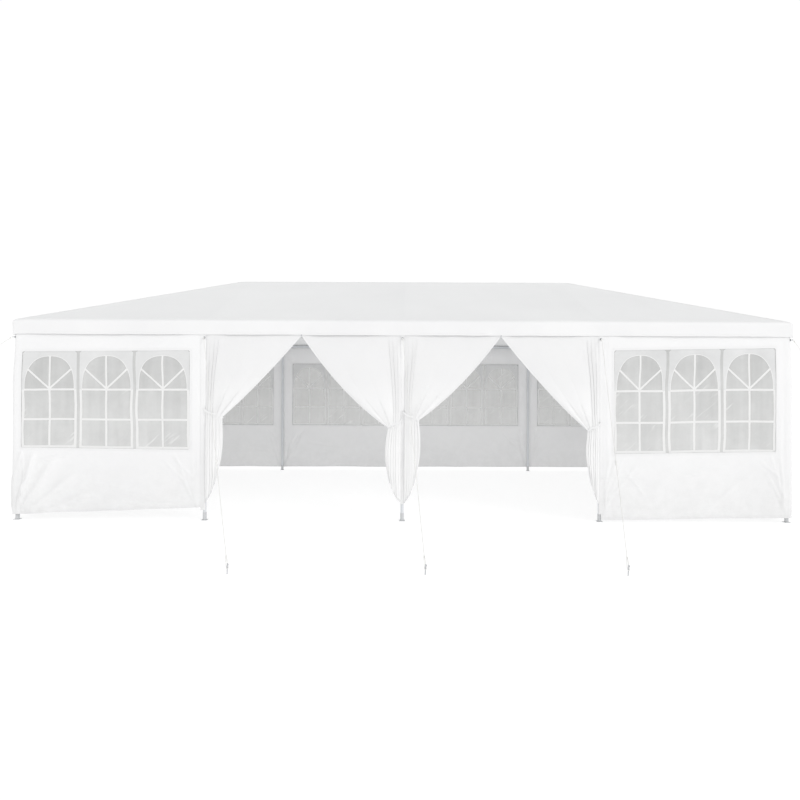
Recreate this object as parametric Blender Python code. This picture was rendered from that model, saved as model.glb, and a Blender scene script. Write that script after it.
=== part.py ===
# Marquee tent with a steel tube frame, a hipped fabric cover with a valance, window walls, two tied-back
# zip doors, and guy ropes pegged to the ground. Metres, +Z up, origin on the ground under the ridge's middle.
# +X runs along the tent to the right, and the doors are on the -Y side.

import math

import bmesh
import bpy
from mathutils import Matrix, Vector

# Plan and heights
LENGTH = 9.0  # between the centres of the corner posts
DEPTH = 4.0
MIDDLE_BAY = 2.31  # post spacing either side of the middle post; the two end bays take the rest
EAVE_HEIGHT = 2.335  # where the roof turns down into the valance
RIDGE_HEIGHT = 3.17
RIDGE_LENGTH = 4.95
VALANCE_DROP = 0.17

# Frame
TUBE_RADIUS = 0.019
SLEEVE_RADIUS = 0.0225  # the fittings that the tubes plug into
LEG_SOCKET_RADIUS = 0.0215
RAFTER_SOCKET_RADIUS = 0.0212
RAIL_SOCKET_RADIUS = 0.0209
SLEEVE_REACH = 0.10  # from the middle of a fitting to the end of its socket
HIP_SOCKET_START = 0.03
HIP_SOCKET_REACH = 0.12
CORNER_TAIL = 0.018  # how far a long rail runs past the centre of a corner post
TUBE_SIDES = 12
FRAME_DROP = 0.037  # rafter centre lines below the top of the cover
FOOT_PLATE_SIDE = 0.065
FOOT_PLATE_THICKNESS = 0.004
FOOT_SOCKET_RADIUS = 0.0225
FOOT_SOCKET_HEIGHT = 0.09
EYE_HEIGHT = 2.13  # eye bolts for the guy ropes, just under the valance
EYE_REACH = 0.056
EYE_BOLT_RADIUS = 0.003
EYE_HEAD_RADIUS = 0.008
EYE_HEAD_LENGTH = 0.008
SADDLE_WIDTH = 0.06  # bracket that joins a pair of rafters under the ridge pole
SADDLE_LENGTH = 0.13
SADDLE_THICKNESS = 0.006

# Fabric, drawn thicker than the real cloth
CLOTH = 0.006
COVER_OUT = 0.045  # outer face of the cover beyond the post centres
WALL_OUT = 0.030  # middle of a wall beyond the post centres
WALL_BOTTOM = 0.08
WALL_TOP = 2.295
WALL_EDGE = 0.008  # from a post's centre line to the edge of a wall, which leaves room for the eye bolt
WALL_CORNER_EDGE = 0.012  # how far a wall runs past the centre of a corner post

# Windows: one clear strip in each bay
WINDOW_BOTTOM = 0.84
WINDOW_TOP = 2.0
FRONT_LEFT_WINDOW = (-4.44, -2.47)
FRONT_RIGHT_WINDOW = (2.455, 4.355)
BACK_WINDOW_MARGIN = 0.18  # from a post's centre line to the strip
END_WINDOW_MARGIN = 0.13
PANE = 0.003
PANE_OUT = 0.023  # middle of the pane beyond the post centres
PANE_LAP = 0.03  # how far the pane runs behind the wall round its opening

# Door curtains
DOOR_HEAD = 2.15  # the zips end here, at the valance
FLAP_COLUMNS = 9
FLAP_ROWS_ABOVE = 8
FLAP_ROWS_BELOW = 5
FLAP_FULLNESS = 0.05  # how far a gathered flap is thicker than its cloth
FLAP_BELLY = 0.03  # how far a flap swells sideways under its tie
TAIL_AT_POST = 0.21  # height of a tail's hem beside the post
# One entry per flap: height of the tie, how far the zip edge reaches from the post there and at the hem,
# height of the hem under the zip edge, and droop of the zip edge between the head and the tie.
LEFT_DOOR_FLAPS = (
    {"tie": 1.205, "reach": 0.215, "hem_reach": 0.14, "hem": 0.44, "droop": 0.07},
    {"tie": 1.09, "reach": 0.17, "hem_reach": 0.15, "hem": 0.45, "droop": 0.20},
)
RIGHT_DOOR_FLAPS = (
    {"tie": 1.18, "reach": 0.185, "hem_reach": 0.14, "hem": 0.42, "droop": 0.16},
    {"tie": 1.06, "reach": 0.165, "hem_reach": 0.11, "hem": 0.43, "droop": 0.10},
)

# Guy ropes
ROPE_RADIUS = 0.003
ROPE_SIDES = 8
PEG_RADIUS = 0.0045
PEG_HEIGHT = 0.10
PEG_LEAN = 0.03
PEG_HOOK = 0.04
ROPE_ON_PEG = 0.055  # height at which the rope meets its peg
SLIDER_SIZE = (0.055, 0.022, 0.008)
SLIDER_ALONG = 0.62  # share of the rope from its eye to the slider
FRONT_PEG_OUT = 1.9  # from the post line to the pegs of the long sides
# From each front post to its peg, along X. The far side is the near side turned by half a turn.
PEG_SHIFT = {"left": 0.88, "middle": 0.22, "right": -0.40}
LEFT_CORNER_PEG = (-1.7, -1.8)
RIGHT_CORNER_PEG = (1.0, -0.7)

GAP = 0.0003  # between pieces that touch

HALF_LENGTH = LENGTH / 2
HALF_DEPTH = DEPTH / 2
HALF_RIDGE = RIDGE_LENGTH / 2
COVER_HALF_LENGTH = HALF_LENGTH + COVER_OUT
COVER_HALF_DEPTH = HALF_DEPTH + COVER_OUT
ROOF_RISE = RIDGE_HEIGHT - EAVE_HEIGHT


def roof_height(x, y):
    # Top of the cover over a point of the plan.
    side = ROOF_RISE * abs(y) / COVER_HALF_DEPTH
    hip = ROOF_RISE * max(0.0, abs(x) - HALF_RIDGE) / (COVER_HALF_LENGTH - HALF_RIDGE)
    return RIDGE_HEIGHT - max(side, hip)


def frame_height(x, y):
    # Centre line of a rafter or an eave tube over a point of the plan.
    return roof_height(x, y) - FRAME_DROP


RAIL_HEIGHT = frame_height(0, HALF_DEPTH)
RIDGE_POLE_HEIGHT = frame_height(0, 0) - 0.006


# Scene, materials and small helpers

for old in list(bpy.data.objects):
    bpy.data.objects.remove(old, do_unlink=True)


def make_material(name, color, roughness, metallic=0.0, alpha=1.0):
    material = bpy.data.materials.new(name)
    material.use_nodes = True
    shader = material.node_tree.nodes["Principled BSDF"]
    shader.inputs["Base Color"].default_value = (*color, 1.0)
    shader.inputs["Roughness"].default_value = roughness
    shader.inputs["Metallic"].default_value = metallic
    shader.inputs["Alpha"].default_value = alpha
    return material


WHITE_PAINT = make_material("white_painted_steel", (0.86, 0.87, 0.88), 0.35)
COVER_CLOTH = make_material("white_cover_cloth", (0.91, 0.92, 0.93), 0.55)
WALL_CLOTH = make_material("white_wall_cloth", (0.94, 0.94, 0.95), 0.55)
CLEAR_SHEET = make_material("clear_window_sheet", (0.86, 0.88, 0.89), 0.12, alpha=0.35)
ROPE_CORD = make_material("white_guy_rope", (0.88, 0.88, 0.86), 0.8)


def add_object(name, mesh, material, smooth=False):
    piece = bpy.data.objects.new(name, mesh)
    bpy.context.scene.collection.objects.link(piece)
    mesh.materials.clear()
    mesh.materials.append(material)
    if smooth:
        mesh.shade_smooth()
        mesh.set_sharp_from_angle(angle=math.radians(40))
    return piece


def mesh_from(bm, name):
    bmesh.ops.recalc_face_normals(bm, faces=bm.faces)
    mesh = bpy.data.meshes.new(name)
    bm.to_mesh(mesh)
    bm.free()
    return mesh


def turned(bm, profile, sides, start, direction):
    # A closed round solid about an axis: profile is a list of (distance along the axis, radius).
    turn = Vector((0, 0, 1)).rotation_difference(Vector(direction)).to_matrix().to_4x4()
    place = Matrix.Translation(start) @ turn
    rings = []
    for along, radius in profile:
        ring = []
        for k in range(sides):
            angle = math.tau * (k + 0.5) / sides
            point = Vector((radius * math.cos(angle), radius * math.sin(angle), along))
            ring.append(bm.verts.new(place @ point))
        rings.append(ring)
    for lower, upper in zip(rings, rings[1:]):
        for k in range(sides):
            n = (k + 1) % sides
            bm.faces.new((lower[k], lower[n], upper[n], upper[k]))
    bm.faces.new(list(reversed(rings[0])))
    bm.faces.new(rings[-1])


def tube_mesh(name, start, end, radius, sides=TUBE_SIDES):
    axis = Vector(end) - Vector(start)
    bm = bmesh.new()
    turned(bm, [(0, radius), (axis.length, radius)], sides, start, axis)
    return mesh_from(bm, name)


def box_mesh(name, low, high):
    bm = bmesh.new()
    bmesh.ops.create_cube(bm, size=1.0)
    size = Vector(high) - Vector(low)
    bmesh.ops.scale(bm, vec=size, verts=bm.verts)
    bmesh.ops.translate(bm, vec=(Vector(low) + Vector(high)) / 2, verts=bm.verts)
    return mesh_from(bm, name)


def combine(base, meshes, operation="UNION"):
    # Joins meshes to an object, or cuts them from it, and applies the result.
    helpers = []
    for mesh in meshes:
        helper = bpy.data.objects.new(mesh.name, mesh)
        bpy.context.scene.collection.objects.link(helper)
        helper.hide_render = True
        helper.display_type = "WIRE"
        helpers.append(helper)
        step = base.modifiers.new("combine", "BOOLEAN")
        step.operation = operation
        step.solver = "EXACT"
        step.object = helper
    graph = bpy.context.evaluated_depsgraph_get()
    result = bpy.data.meshes.new_from_object(base.evaluated_get(graph))
    base.modifiers.clear()
    base.data = result
    for helper in helpers:
        bpy.data.objects.remove(helper, do_unlink=True)
    return base


def toward(start, end, distance):
    start = Vector(start)
    return start + (Vector(end) - start).normalized() * distance


# Posts: foot plate, socket, leg and head socket, with an eye bolt where a guy rope is fastened

HEAD_SOCKET = RAIL_HEIGHT - SLEEVE_REACH
POST_TOP = RAIL_HEIGHT - SLEEVE_RADIUS - GAP


def add_post(name, x, y, eye_direction=None):
    profile = [
        (FOOT_PLATE_THICKNESS / 2, FOOT_SOCKET_RADIUS),
        (FOOT_SOCKET_HEIGHT, FOOT_SOCKET_RADIUS),
        (FOOT_SOCKET_HEIGHT, TUBE_RADIUS),
        (HEAD_SOCKET, TUBE_RADIUS),
        (HEAD_SOCKET, LEG_SOCKET_RADIUS),
        (POST_TOP, LEG_SOCKET_RADIUS),
    ]
    bm = bmesh.new()
    turned(bm, profile, TUBE_SIDES, (x, y, 0), (0, 0, 1))
    post = add_object(name, mesh_from(bm, name), WHITE_PAINT)
    half = FOOT_PLATE_SIDE / 2
    parts = [box_mesh("plate", (x - half, y - half, 0), (x + half, y + half, FOOT_PLATE_THICKNESS))]
    if eye_direction is not None:
        reach = EYE_REACH
        bm = bmesh.new()
        eye = [
            (TUBE_RADIUS / 2, EYE_BOLT_RADIUS),
            (reach - EYE_HEAD_LENGTH, EYE_BOLT_RADIUS),
            (reach - EYE_HEAD_LENGTH, EYE_HEAD_RADIUS),
            (reach, EYE_HEAD_RADIUS),
        ]
        turned(bm, eye, ROPE_SIDES, (x, y, EYE_HEIGHT), eye_direction)
        parts.append(mesh_from(bm, "eye_bolt"))
    combine(post, parts)
    post.data.shade_smooth()
    post.data.set_sharp_from_angle(angle=math.radians(40))
    return post


BAY_POSTS = {
    "left_corner": -HALF_LENGTH,
    "left": -MIDDLE_BAY,
    "middle": 0.0,
    "right": MIDDLE_BAY,
    "right_corner": HALF_LENGTH,
}
SIDES = {"front": -1, "back": 1}


def outward(x, side):
    # Direction of a post's eye bolt: square to the long side, or diagonal on a corner post.
    across = math.copysign(1, x) if abs(x) > HALF_LENGTH - GAP else 0
    return Vector((across, side, 0)).normalized()


for side_name, side in SIDES.items():
    for place, x in BAY_POSTS.items():
        add_post(f"{side_name}_{place}_post", x, side * HALF_DEPTH, outward(x, side))
add_post("left_end_post", -HALF_LENGTH, 0)
add_post("right_end_post", HALF_LENGTH, 0)


# Eave rails: bars with a wider sleeve at each post. Every bar carries the sockets at its own ends.

def rail_profile(length, fittings):
    # Tube radius with a wider sleeve at each fitting; distances run from the start of the rail.
    profile = []
    for middle in fittings:
        first = max(0.0, middle - SLEEVE_REACH)
        last = min(length, middle + SLEEVE_REACH)
        if first > 0:
            profile += [(first, TUBE_RADIUS)]
        profile += [(first, SLEEVE_RADIUS), (last, SLEEVE_RADIUS)]
        if last < length:
            profile += [(last, TUBE_RADIUS)]
    return profile


def add_long_rail(side_name, side):
    fittings = [x + HALF_LENGTH + CORNER_TAIL for x in BAY_POSTS.values()]
    bm = bmesh.new()
    start = (-HALF_LENGTH - CORNER_TAIL, side * HALF_DEPTH, RAIL_HEIGHT)
    turned(bm, rail_profile(LENGTH + 2 * CORNER_TAIL, fittings), TUBE_SIDES, start, (1, 0, 0))
    name = f"{side_name}_eave_rail"
    add_object(name, mesh_from(bm, name), WHITE_PAINT, smooth=True)


def add_end_rail(name, x):
    # It butts against the sleeves of the two long rails.
    start = (x, -HALF_DEPTH + SLEEVE_RADIUS + GAP, RAIL_HEIGHT)
    length = 2 * (HALF_DEPTH - SLEEVE_RADIUS - GAP)
    reach = SLEEVE_REACH - SLEEVE_RADIUS
    profile = [(0, RAIL_SOCKET_RADIUS), (reach, RAIL_SOCKET_RADIUS), (reach, TUBE_RADIUS)]
    profile += rail_profile(length, [length / 2])
    profile += [(length - reach, TUBE_RADIUS), (length - reach, RAIL_SOCKET_RADIUS)]
    profile += [(length, RAIL_SOCKET_RADIUS)]
    bm = bmesh.new()
    turned(bm, profile, TUBE_SIDES, start, (0, 1, 0))
    add_object(name, mesh_from(bm, name), WHITE_PAINT, smooth=True)


for side_name, side in SIDES.items():
    add_long_rail(side_name, side)
add_end_rail("left_eave_rail", -HALF_LENGTH)
add_end_rail("right_eave_rail", HALF_LENGTH)


# Roof frame: ridge pole, three pairs of rafters and a pair of hip rafters at each end

def add_ridge_pole():
    bm = bmesh.new()
    start = (-HALF_RIDGE, 0, RIDGE_POLE_HEIGHT)
    turned(bm, [(0, TUBE_RADIUS), (RIDGE_LENGTH, TUBE_RADIUS)], TUBE_SIDES, start, (1, 0, 0))
    add_object("ridge_pole", mesh_from(bm, "ridge_pole"), WHITE_PAINT, smooth=True)


def add_rafter_pair(name, x):
    # The two rafters stop beside the ridge pole, and a bracket under it joins them. At its foot each
    # has a socket that butts against the sleeve of the eave rail.
    clear = TUBE_RADIUS + 2 * GAP
    reach = SLEEVE_REACH - SLEEVE_RADIUS
    tubes = []
    for side in SIDES.values():
        rail = Vector((x, side * HALF_DEPTH, RAIL_HEIGHT))
        head = Vector((x, side * clear, frame_height(x, clear)))
        foot = toward(rail, head, SLEEVE_RADIUS + GAP)
        profile = [(0, RAFTER_SOCKET_RADIUS), (reach, RAFTER_SOCKET_RADIUS), (reach, TUBE_RADIUS)]
        profile += [((head - foot).length, TUBE_RADIUS)]
        bm = bmesh.new()
        turned(bm, profile, TUBE_SIDES, foot, head - foot)
        tubes.append(mesh_from(bm, name))
    saddle_top = RIDGE_POLE_HEIGHT - TUBE_RADIUS - GAP
    saddle = box_mesh(
        "saddle",
        (x - SADDLE_WIDTH / 2, -SADDLE_LENGTH / 2, saddle_top - SADDLE_THICKNESS),
        (x + SADDLE_WIDTH / 2, SADDLE_LENGTH / 2, saddle_top),
    )
    rafters = add_object(name, tubes[0], WHITE_PAINT)
    combine(rafters, [tubes[1], saddle])
    reach = TUBE_RADIUS + GAP
    keep_clear = box_mesh(
        "keep_clear",
        (x - 0.1, -reach, RIDGE_POLE_HEIGHT - reach),
        (x + 0.1, reach, RIDGE_HEIGHT),
    )
    combine(rafters, [keep_clear], "DIFFERENCE")


def add_hip_pair(name, direction):
    # Two hip rafters meet in one fitting beyond the end of the ridge pole. The socket at the foot of each
    # is cut to fit the long rail's sleeve and the end rail.
    apex = Vector((direction * (HALF_RIDGE + TUBE_RADIUS), 0, frame_height(HALF_RIDGE, 0)))
    tubes, rail_room = [], []
    for side in SIDES.values():
        corner = Vector((direction * HALF_LENGTH, side * HALF_DEPTH, RAIL_HEIGHT))
        foot = toward(corner, apex, HIP_SOCKET_START)
        reach = HIP_SOCKET_REACH - HIP_SOCKET_START
        profile = [(0, RAFTER_SOCKET_RADIUS), (reach, RAFTER_SOCKET_RADIUS), (reach, TUBE_RADIUS)]
        profile += [((apex - foot).length, TUBE_RADIUS)]
        bm = bmesh.new()
        turned(bm, profile, TUBE_SIDES, foot, apex - foot)
        tubes.append(mesh_from(bm, name))
        along = Vector((0.3, 0, 0))
        rail_room.append(tube_mesh("rail_room", corner - along, corner + along, SLEEVE_RADIUS + GAP))
        across = Vector((0, 0.3, 0))
        rail_room.append(tube_mesh("rail_room", corner - across, corner + across, RAIL_SOCKET_RADIUS + GAP))
    hips = add_object(name, tubes[0], WHITE_PAINT)
    fitting = tube_mesh(
        "fitting",
        (direction * (HALF_RIDGE + TUBE_RADIUS), 0, apex.z - 0.03),
        (direction * (HALF_RIDGE + TUBE_RADIUS), 0, apex.z + 0.004),
        0.95 * TUBE_RADIUS,
    )
    combine(hips, [tubes[1], fitting])
    inner = direction * (HALF_RIDGE + GAP)
    outer = direction * (HALF_RIDGE - 0.2)
    keep_clear = box_mesh(
        "keep_clear",
        (min(inner, outer), -0.1, apex.z - 0.1),
        (max(inner, outer), 0.1, apex.z + 0.1),
    )
    combine(hips, [keep_clear, *rail_room], "DIFFERENCE")


add_ridge_pole()
for place in ("left", "middle", "right"):
    add_rafter_pair(f"{place}_rafters", BAY_POSTS[place])
add_hip_pair("left_hip_rafters", -1)
add_hip_pair("right_hip_rafters", 1)


# Roof cover: two long slopes, two hip ends and a valance all round

def cover_shell(inset, lift, bottom):
    # Corner points of the cover: ridge ends, eave corners and valance corners.
    x, y = COVER_HALF_LENGTH - inset, COVER_HALF_DEPTH - inset
    eave = EAVE_HEIGHT + lift + inset * ROOF_RISE / COVER_HALF_DEPTH
    corners = [(-x, -y), (x, -y), (x, y), (-x, y)]
    points = [(-HALF_RIDGE, 0, RIDGE_HEIGHT + lift), (HALF_RIDGE, 0, RIDGE_HEIGHT + lift)]
    points += [(cx, cy, eave) for cx, cy in corners]
    points += [(cx, cy, bottom) for cx, cy in corners]
    return points


def add_roof_cover():
    bottom = EAVE_HEIGHT - VALANCE_DROP
    outer = cover_shell(0, 0, bottom)
    inner = cover_shell(CLOTH, -1.08 * CLOTH, bottom)
    count = len(outer)
    slopes = [(2, 3, 1, 0), (4, 5, 0, 1), (3, 4, 1), (5, 2, 0)]
    valance = [(6, 7, 3, 2), (7, 8, 4, 3), (8, 9, 5, 4), (9, 6, 2, 5)]
    faces = slopes + valance
    faces += [tuple(count + i for i in reversed(face)) for face in slopes + valance]
    ring = [6, 7, 8, 9]
    for a, b in zip(ring, ring[1:] + ring[:1]):
        faces.append((b, a, count + a, count + b))
    mesh = bpy.data.meshes.new("roof_cover")
    mesh.from_pydata(outer + inner, [], faces)
    bm = bmesh.new()
    bm.from_mesh(mesh)
    bmesh.ops.triangulate(bm, faces=bm.faces)
    add_object("roof_cover", mesh_from(bm, "roof_cover"), COVER_CLOTH)


add_roof_cover()


# Walls: flat sheets with a clear strip in each bay

def wall_box(name, axis, out, thickness, span, heights):
    # A slab that stands on the X line (axis 0) or the Y line (axis 1) of the plan.
    low = [0, 0, heights[0]]
    high = [0, 0, heights[1]]
    low[axis], high[axis] = span
    low[1 - axis] = out - thickness / 2
    high[1 - axis] = out + thickness / 2
    return box_mesh(name, low, high)


def add_wall(name, window_name, axis, direction, span, windows):
    half = HALF_DEPTH if axis == 0 else HALF_LENGTH
    out = direction * (half + WALL_OUT)
    wall = add_object(name, wall_box(name, axis, out, CLOTH, span, (WALL_BOTTOM, WALL_TOP)), WALL_CLOTH)
    cuts = []
    for strip in windows:
        cuts.append(wall_box("cut", axis, out, 4 * CLOTH, strip, (WINDOW_BOTTOM, WINDOW_TOP)))
    combine(wall, cuts, "DIFFERENCE")
    pane_span = (windows[0][0] - PANE_LAP, windows[-1][1] + PANE_LAP)
    pane_heights = (WINDOW_BOTTOM - PANE_LAP, WINDOW_TOP + PANE_LAP)
    pane_out = direction * (half + PANE_OUT)
    pane = wall_box(window_name, axis, pane_out, PANE, pane_span, pane_heights)
    add_object(window_name, pane, CLEAR_SHEET)


def windows_between(posts, margin):
    return [(first + margin, last - margin) for first, last in zip(posts, posts[1:])]


FRONT, BACK, LEFT, RIGHT = -1, 1, -1, 1
corner_edge = HALF_LENGTH + WALL_CORNER_EDGE
left_span = (-corner_edge, -MIDDLE_BAY - WALL_EDGE)
right_span = (MIDDLE_BAY + WALL_EDGE, corner_edge)
add_wall("front_left_window_wall", "front_left_window", 0, FRONT, left_span, [FRONT_LEFT_WINDOW])
add_wall("front_right_window_wall", "front_right_window", 0, FRONT, right_span, [FRONT_RIGHT_WINDOW])
back_windows = windows_between(list(BAY_POSTS.values()), BACK_WINDOW_MARGIN)
add_wall("back_wall", "back_windows", 0, BACK, (-corner_edge, corner_edge), back_windows)
end_edge = HALF_DEPTH + WALL_CORNER_EDGE
end_windows = windows_between([-HALF_DEPTH, 0.0, HALF_DEPTH], END_WINDOW_MARGIN)
add_wall("left_end_wall", "left_end_windows", 1, LEFT, (-end_edge, end_edge), end_windows)
add_wall("right_end_wall", "right_end_windows", 1, RIGHT, (-end_edge, end_edge), end_windows)

# The back wall is one sheet, so it has a hole for each eye bolt that passes through it.
eye_holes = []
for x in (-MIDDLE_BAY, 0.0, MIDDLE_BAY):
    middle = Vector((x, HALF_DEPTH + WALL_OUT, EYE_HEIGHT))
    half = Vector((WALL_EDGE, 2 * CLOTH, WALL_EDGE))
    eye_holes.append(box_mesh("eye_hole", middle - half, middle + half))
combine(bpy.data.objects["back_wall"], eye_holes, "DIFFERENCE")


# Door curtains: one sheet to a bay, zipped up the middle, with each half drawn to its post and tied

def bezier(a, b, c, t):
    return a * (1 - t) ** 2 + 2 * b * t * (1 - t) + c * t * t


def flap_point(share, row, half_bay, flap):
    # Reach from the post line and height of a point: share runs from the post (0) to the zip (1).
    inner = WALL_EDGE
    head = Vector((inner + (half_bay - inner) * share, DOOR_HEAD))
    waist = Vector((inner + (flap["reach"] - inner) * share, flap["tie"]))
    if row <= FLAP_ROWS_ABOVE:
        bend = (head + waist) / 2 - Vector((0, flap["droop"] * share))
        return bezier(head, bend, waist, row / FLAP_ROWS_ABOVE)
    down = (row - FLAP_ROWS_ABOVE) / FLAP_ROWS_BELOW
    hem_height = TAIL_AT_POST + (flap["hem"] - TAIL_AT_POST) * share
    point = waist.lerp(Vector((inner + (flap["hem_reach"] - inner) * share, hem_height)), down)
    point.x += FLAP_BELLY * share * math.sin(math.pi * down)
    return point


def flap_fullness(share, row):
    # Extra thickness where the cloth is gathered: none at the head, most at and under the tie.
    if row <= FLAP_ROWS_ABOVE:
        amount = (row / FLAP_ROWS_ABOVE) ** 3
    else:
        amount = 1.0
    return FLAP_FULLNESS * amount * math.sin(math.pi * share) ** 0.6


def add_door(name, first, last, flaps):
    half_bay = (last - first) / 2
    rows = FLAP_ROWS_ABOVE + FLAP_ROWS_BELOW + 1
    wall_y = -(HALF_DEPTH + WALL_OUT)
    columns = 2 * FLAP_COLUMNS + 1
    faces_front, faces_back, index = [], [], {}

    def place(column, row):
        # The middle column is shared at the head and split below it. Row -1 is the top of the curtain.
        left = column <= FLAP_COLUMNS
        share = column / FLAP_COLUMNS if left else (columns - 1 - column) / FLAP_COLUMNS
        if row < 0:
            reach, height, extra = WALL_EDGE + (half_bay - WALL_EDGE) * share, WALL_TOP, 0.0
        else:
            reach, height = flap_point(share, row, half_bay, flaps[0] if left else flaps[1])
            extra = flap_fullness(share, row)
        x = first + reach if left else last - reach
        thick = (CLOTH + extra) / 2
        faces_front.append((x, wall_y - thick, height))
        faces_back.append((x, wall_y + thick, height))
        return len(faces_front) - 1

    quads = []
    for row in range(-1, rows):
        for column in range(columns):
            index["left", column, row] = place(column, row)
            index["right", column, row] = index["left", column, row]
            if column == FLAP_COLUMNS and row > 0:
                # The right flap's own zip edge
                reach, height = flap_point(1.0, row, half_bay, flaps[1])
                faces_front.append((last - reach, wall_y - CLOTH / 2, height))
                faces_back.append((last - reach, wall_y + CLOTH / 2, height))
                index["right", column, row] = len(faces_front) - 1
    for row in range(-1, rows - 1):
        for column in range(columns - 1):
            half = "left" if column < FLAP_COLUMNS else "right"
            quads.append([
                index[half, column, row], index[half, column + 1, row],
                index[half, column + 1, row + 1], index[half, column, row + 1],
            ])
    count = len(faces_front)
    edges = {}
    for quad in quads:
        for a, b in zip(quad, quad[1:] + quad[:1]):
            edges[min(a, b), max(a, b)] = edges.get((min(a, b), max(a, b)), 0) + 1
    faces = [tuple(reversed(quad)) for quad in quads]
    faces += [tuple(count + i for i in quad) for quad in quads]
    for (a, b), uses in edges.items():
        if uses == 1:
            faces.append((a, b, count + b, count + a))
    mesh = bpy.data.meshes.new(name)
    mesh.from_pydata(faces_front + faces_back, [], faces)
    bm = bmesh.new()
    bm.from_mesh(mesh)
    bmesh.ops.triangulate(bm, faces=bm.faces)
    add_object(name, mesh_from(bm, name), WALL_CLOTH, smooth=True)


add_door("left_door_curtain", -MIDDLE_BAY, 0.0, LEFT_DOOR_FLAPS)
add_door("right_door_curtain", 0.0, MIDDLE_BAY, RIGHT_DOOR_FLAPS)


# Guy ropes: each runs from an eye bolt to its peg, with a slider to tighten it

def peg_mesh(ground, away):
    # A rod that leans away from the tent, cut level with the ground, with a hook at its top.
    bm = bmesh.new()
    turned(bm, [(0, PEG_RADIUS), (PEG_HEIGHT, PEG_RADIUS)], ROPE_SIDES, ground, (0, 0, 1))
    for vertex in bm.verts:
        vertex.co += away * PEG_LEAN * vertex.co.z / PEG_HEIGHT
    rod = mesh_from(bm, "peg")
    top = ground + away * PEG_LEAN * 0.93 + Vector((0, 0, PEG_HEIGHT - PEG_RADIUS))
    hook = tube_mesh("hook", top - away * 0.001, top + away * PEG_HOOK, PEG_RADIUS * 0.96, ROPE_SIDES)
    return [rod, hook]


def add_guy_rope(name, post, peg):
    eye_way = outward(post[0], math.copysign(1, post[1]))
    start = Vector((*post, EYE_HEIGHT)) + eye_way * (EYE_REACH + ROPE_RADIUS + 2 * GAP)
    ground = Vector((*peg, 0.0))
    away = Vector((peg[0] - post[0], peg[1] - post[1], 0)).normalized()
    end = ground + away * PEG_LEAN * ROPE_ON_PEG / PEG_HEIGHT + Vector((0, 0, ROPE_ON_PEG))
    rope = add_object(name, tube_mesh(name, start, end, ROPE_RADIUS, ROPE_SIDES), ROPE_CORD)
    line = end - start
    slider = box_mesh("slider", [-s / 2 for s in SLIDER_SIZE], [s / 2 for s in SLIDER_SIZE])
    turn = Vector((1, 0, 0)).rotation_difference(line).to_matrix().to_4x4()
    slider.transform(Matrix.Translation(start + line * SLIDER_ALONG) @ turn)
    combine(rope, [*peg_mesh(ground, away), slider])


def add_ropes(side_name, side):
    turn = -side  # the far side is the near side turned by half a turn
    for place, shift in PEG_SHIFT.items():
        x = turn * BAY_POSTS[place]
        seen = place if turn > 0 else {"left": "right", "right": "left"}.get(place, place)
        post = (x, side * HALF_DEPTH)
        peg = (x + turn * shift, side * (HALF_DEPTH + FRONT_PEG_OUT))
        add_guy_rope(f"{side_name}_{seen}_guy_rope", post, peg)
    for place, (dx, dy) in (("left", LEFT_CORNER_PEG), ("right", RIGHT_CORNER_PEG)):
        x = turn * BAY_POSTS[f"{place}_corner"]
        seen = place if turn > 0 else {"left": "right", "right": "left"}[place]
        post = (x, side * HALF_DEPTH)
        peg = (x + turn * dx, side * HALF_DEPTH + turn * dy)
        add_guy_rope(f"{side_name}_{seen}_corner_guy_rope", post, peg)


for side_name, side in SIDES.items():
    add_ropes(side_name, side)
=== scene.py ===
# Dresses the marquee tent: cover, walls, clear windows, tied-back doors, steel frame and guy ropes.
import math

import bmesh
import bpy
import numpy as np
from mathutils import Matrix, Vector


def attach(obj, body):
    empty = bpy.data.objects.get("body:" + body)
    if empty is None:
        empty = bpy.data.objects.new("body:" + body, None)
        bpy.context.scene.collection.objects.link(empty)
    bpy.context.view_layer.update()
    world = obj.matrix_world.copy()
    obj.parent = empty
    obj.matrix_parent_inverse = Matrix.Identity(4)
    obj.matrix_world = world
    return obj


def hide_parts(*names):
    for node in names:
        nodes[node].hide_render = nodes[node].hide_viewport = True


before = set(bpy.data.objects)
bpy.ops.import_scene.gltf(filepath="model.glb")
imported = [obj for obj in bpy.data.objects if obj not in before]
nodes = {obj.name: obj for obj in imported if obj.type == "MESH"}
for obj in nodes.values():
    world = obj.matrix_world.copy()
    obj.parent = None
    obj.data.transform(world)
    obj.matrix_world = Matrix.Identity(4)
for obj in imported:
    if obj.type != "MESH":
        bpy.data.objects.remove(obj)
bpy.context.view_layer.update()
print("frame loaded:", len(nodes), "nodes")

# Sizes that the pieces share with the frame, in metres.
tent = {
    "postsX": (-4.5, -2.31, 0.0, 2.31, 4.5),
    "postsY": (-2.0, 0.0, 2.0),
    "apexes": (-1.179, 1.145),
    "halfPosts": (4.5, 2.0),
    "halfX": 4.545,
    "halfY": 2.045,
    "halfRidge": 2.475,
    "eave": 2.335,
    "ridge": 3.17,
    "valance": 0.17,
    "wallOut": 0.030,
    "wallTop": 2.295,
    "windowBottom": 0.84,
    "windowTop": 2.0,
}

# The camera stands where the photograph was taken from, a little turned and with its frame shifted.
camera = {
    "place": (0.087, -8.58, 1.56),
    "roll": 0.24,
    "focalPixels": 562.0,
    "shiftPixels": (-10.0, -12.6),
    "imagePixels": 800.0,
    "sensor": 36.0,
}

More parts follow.
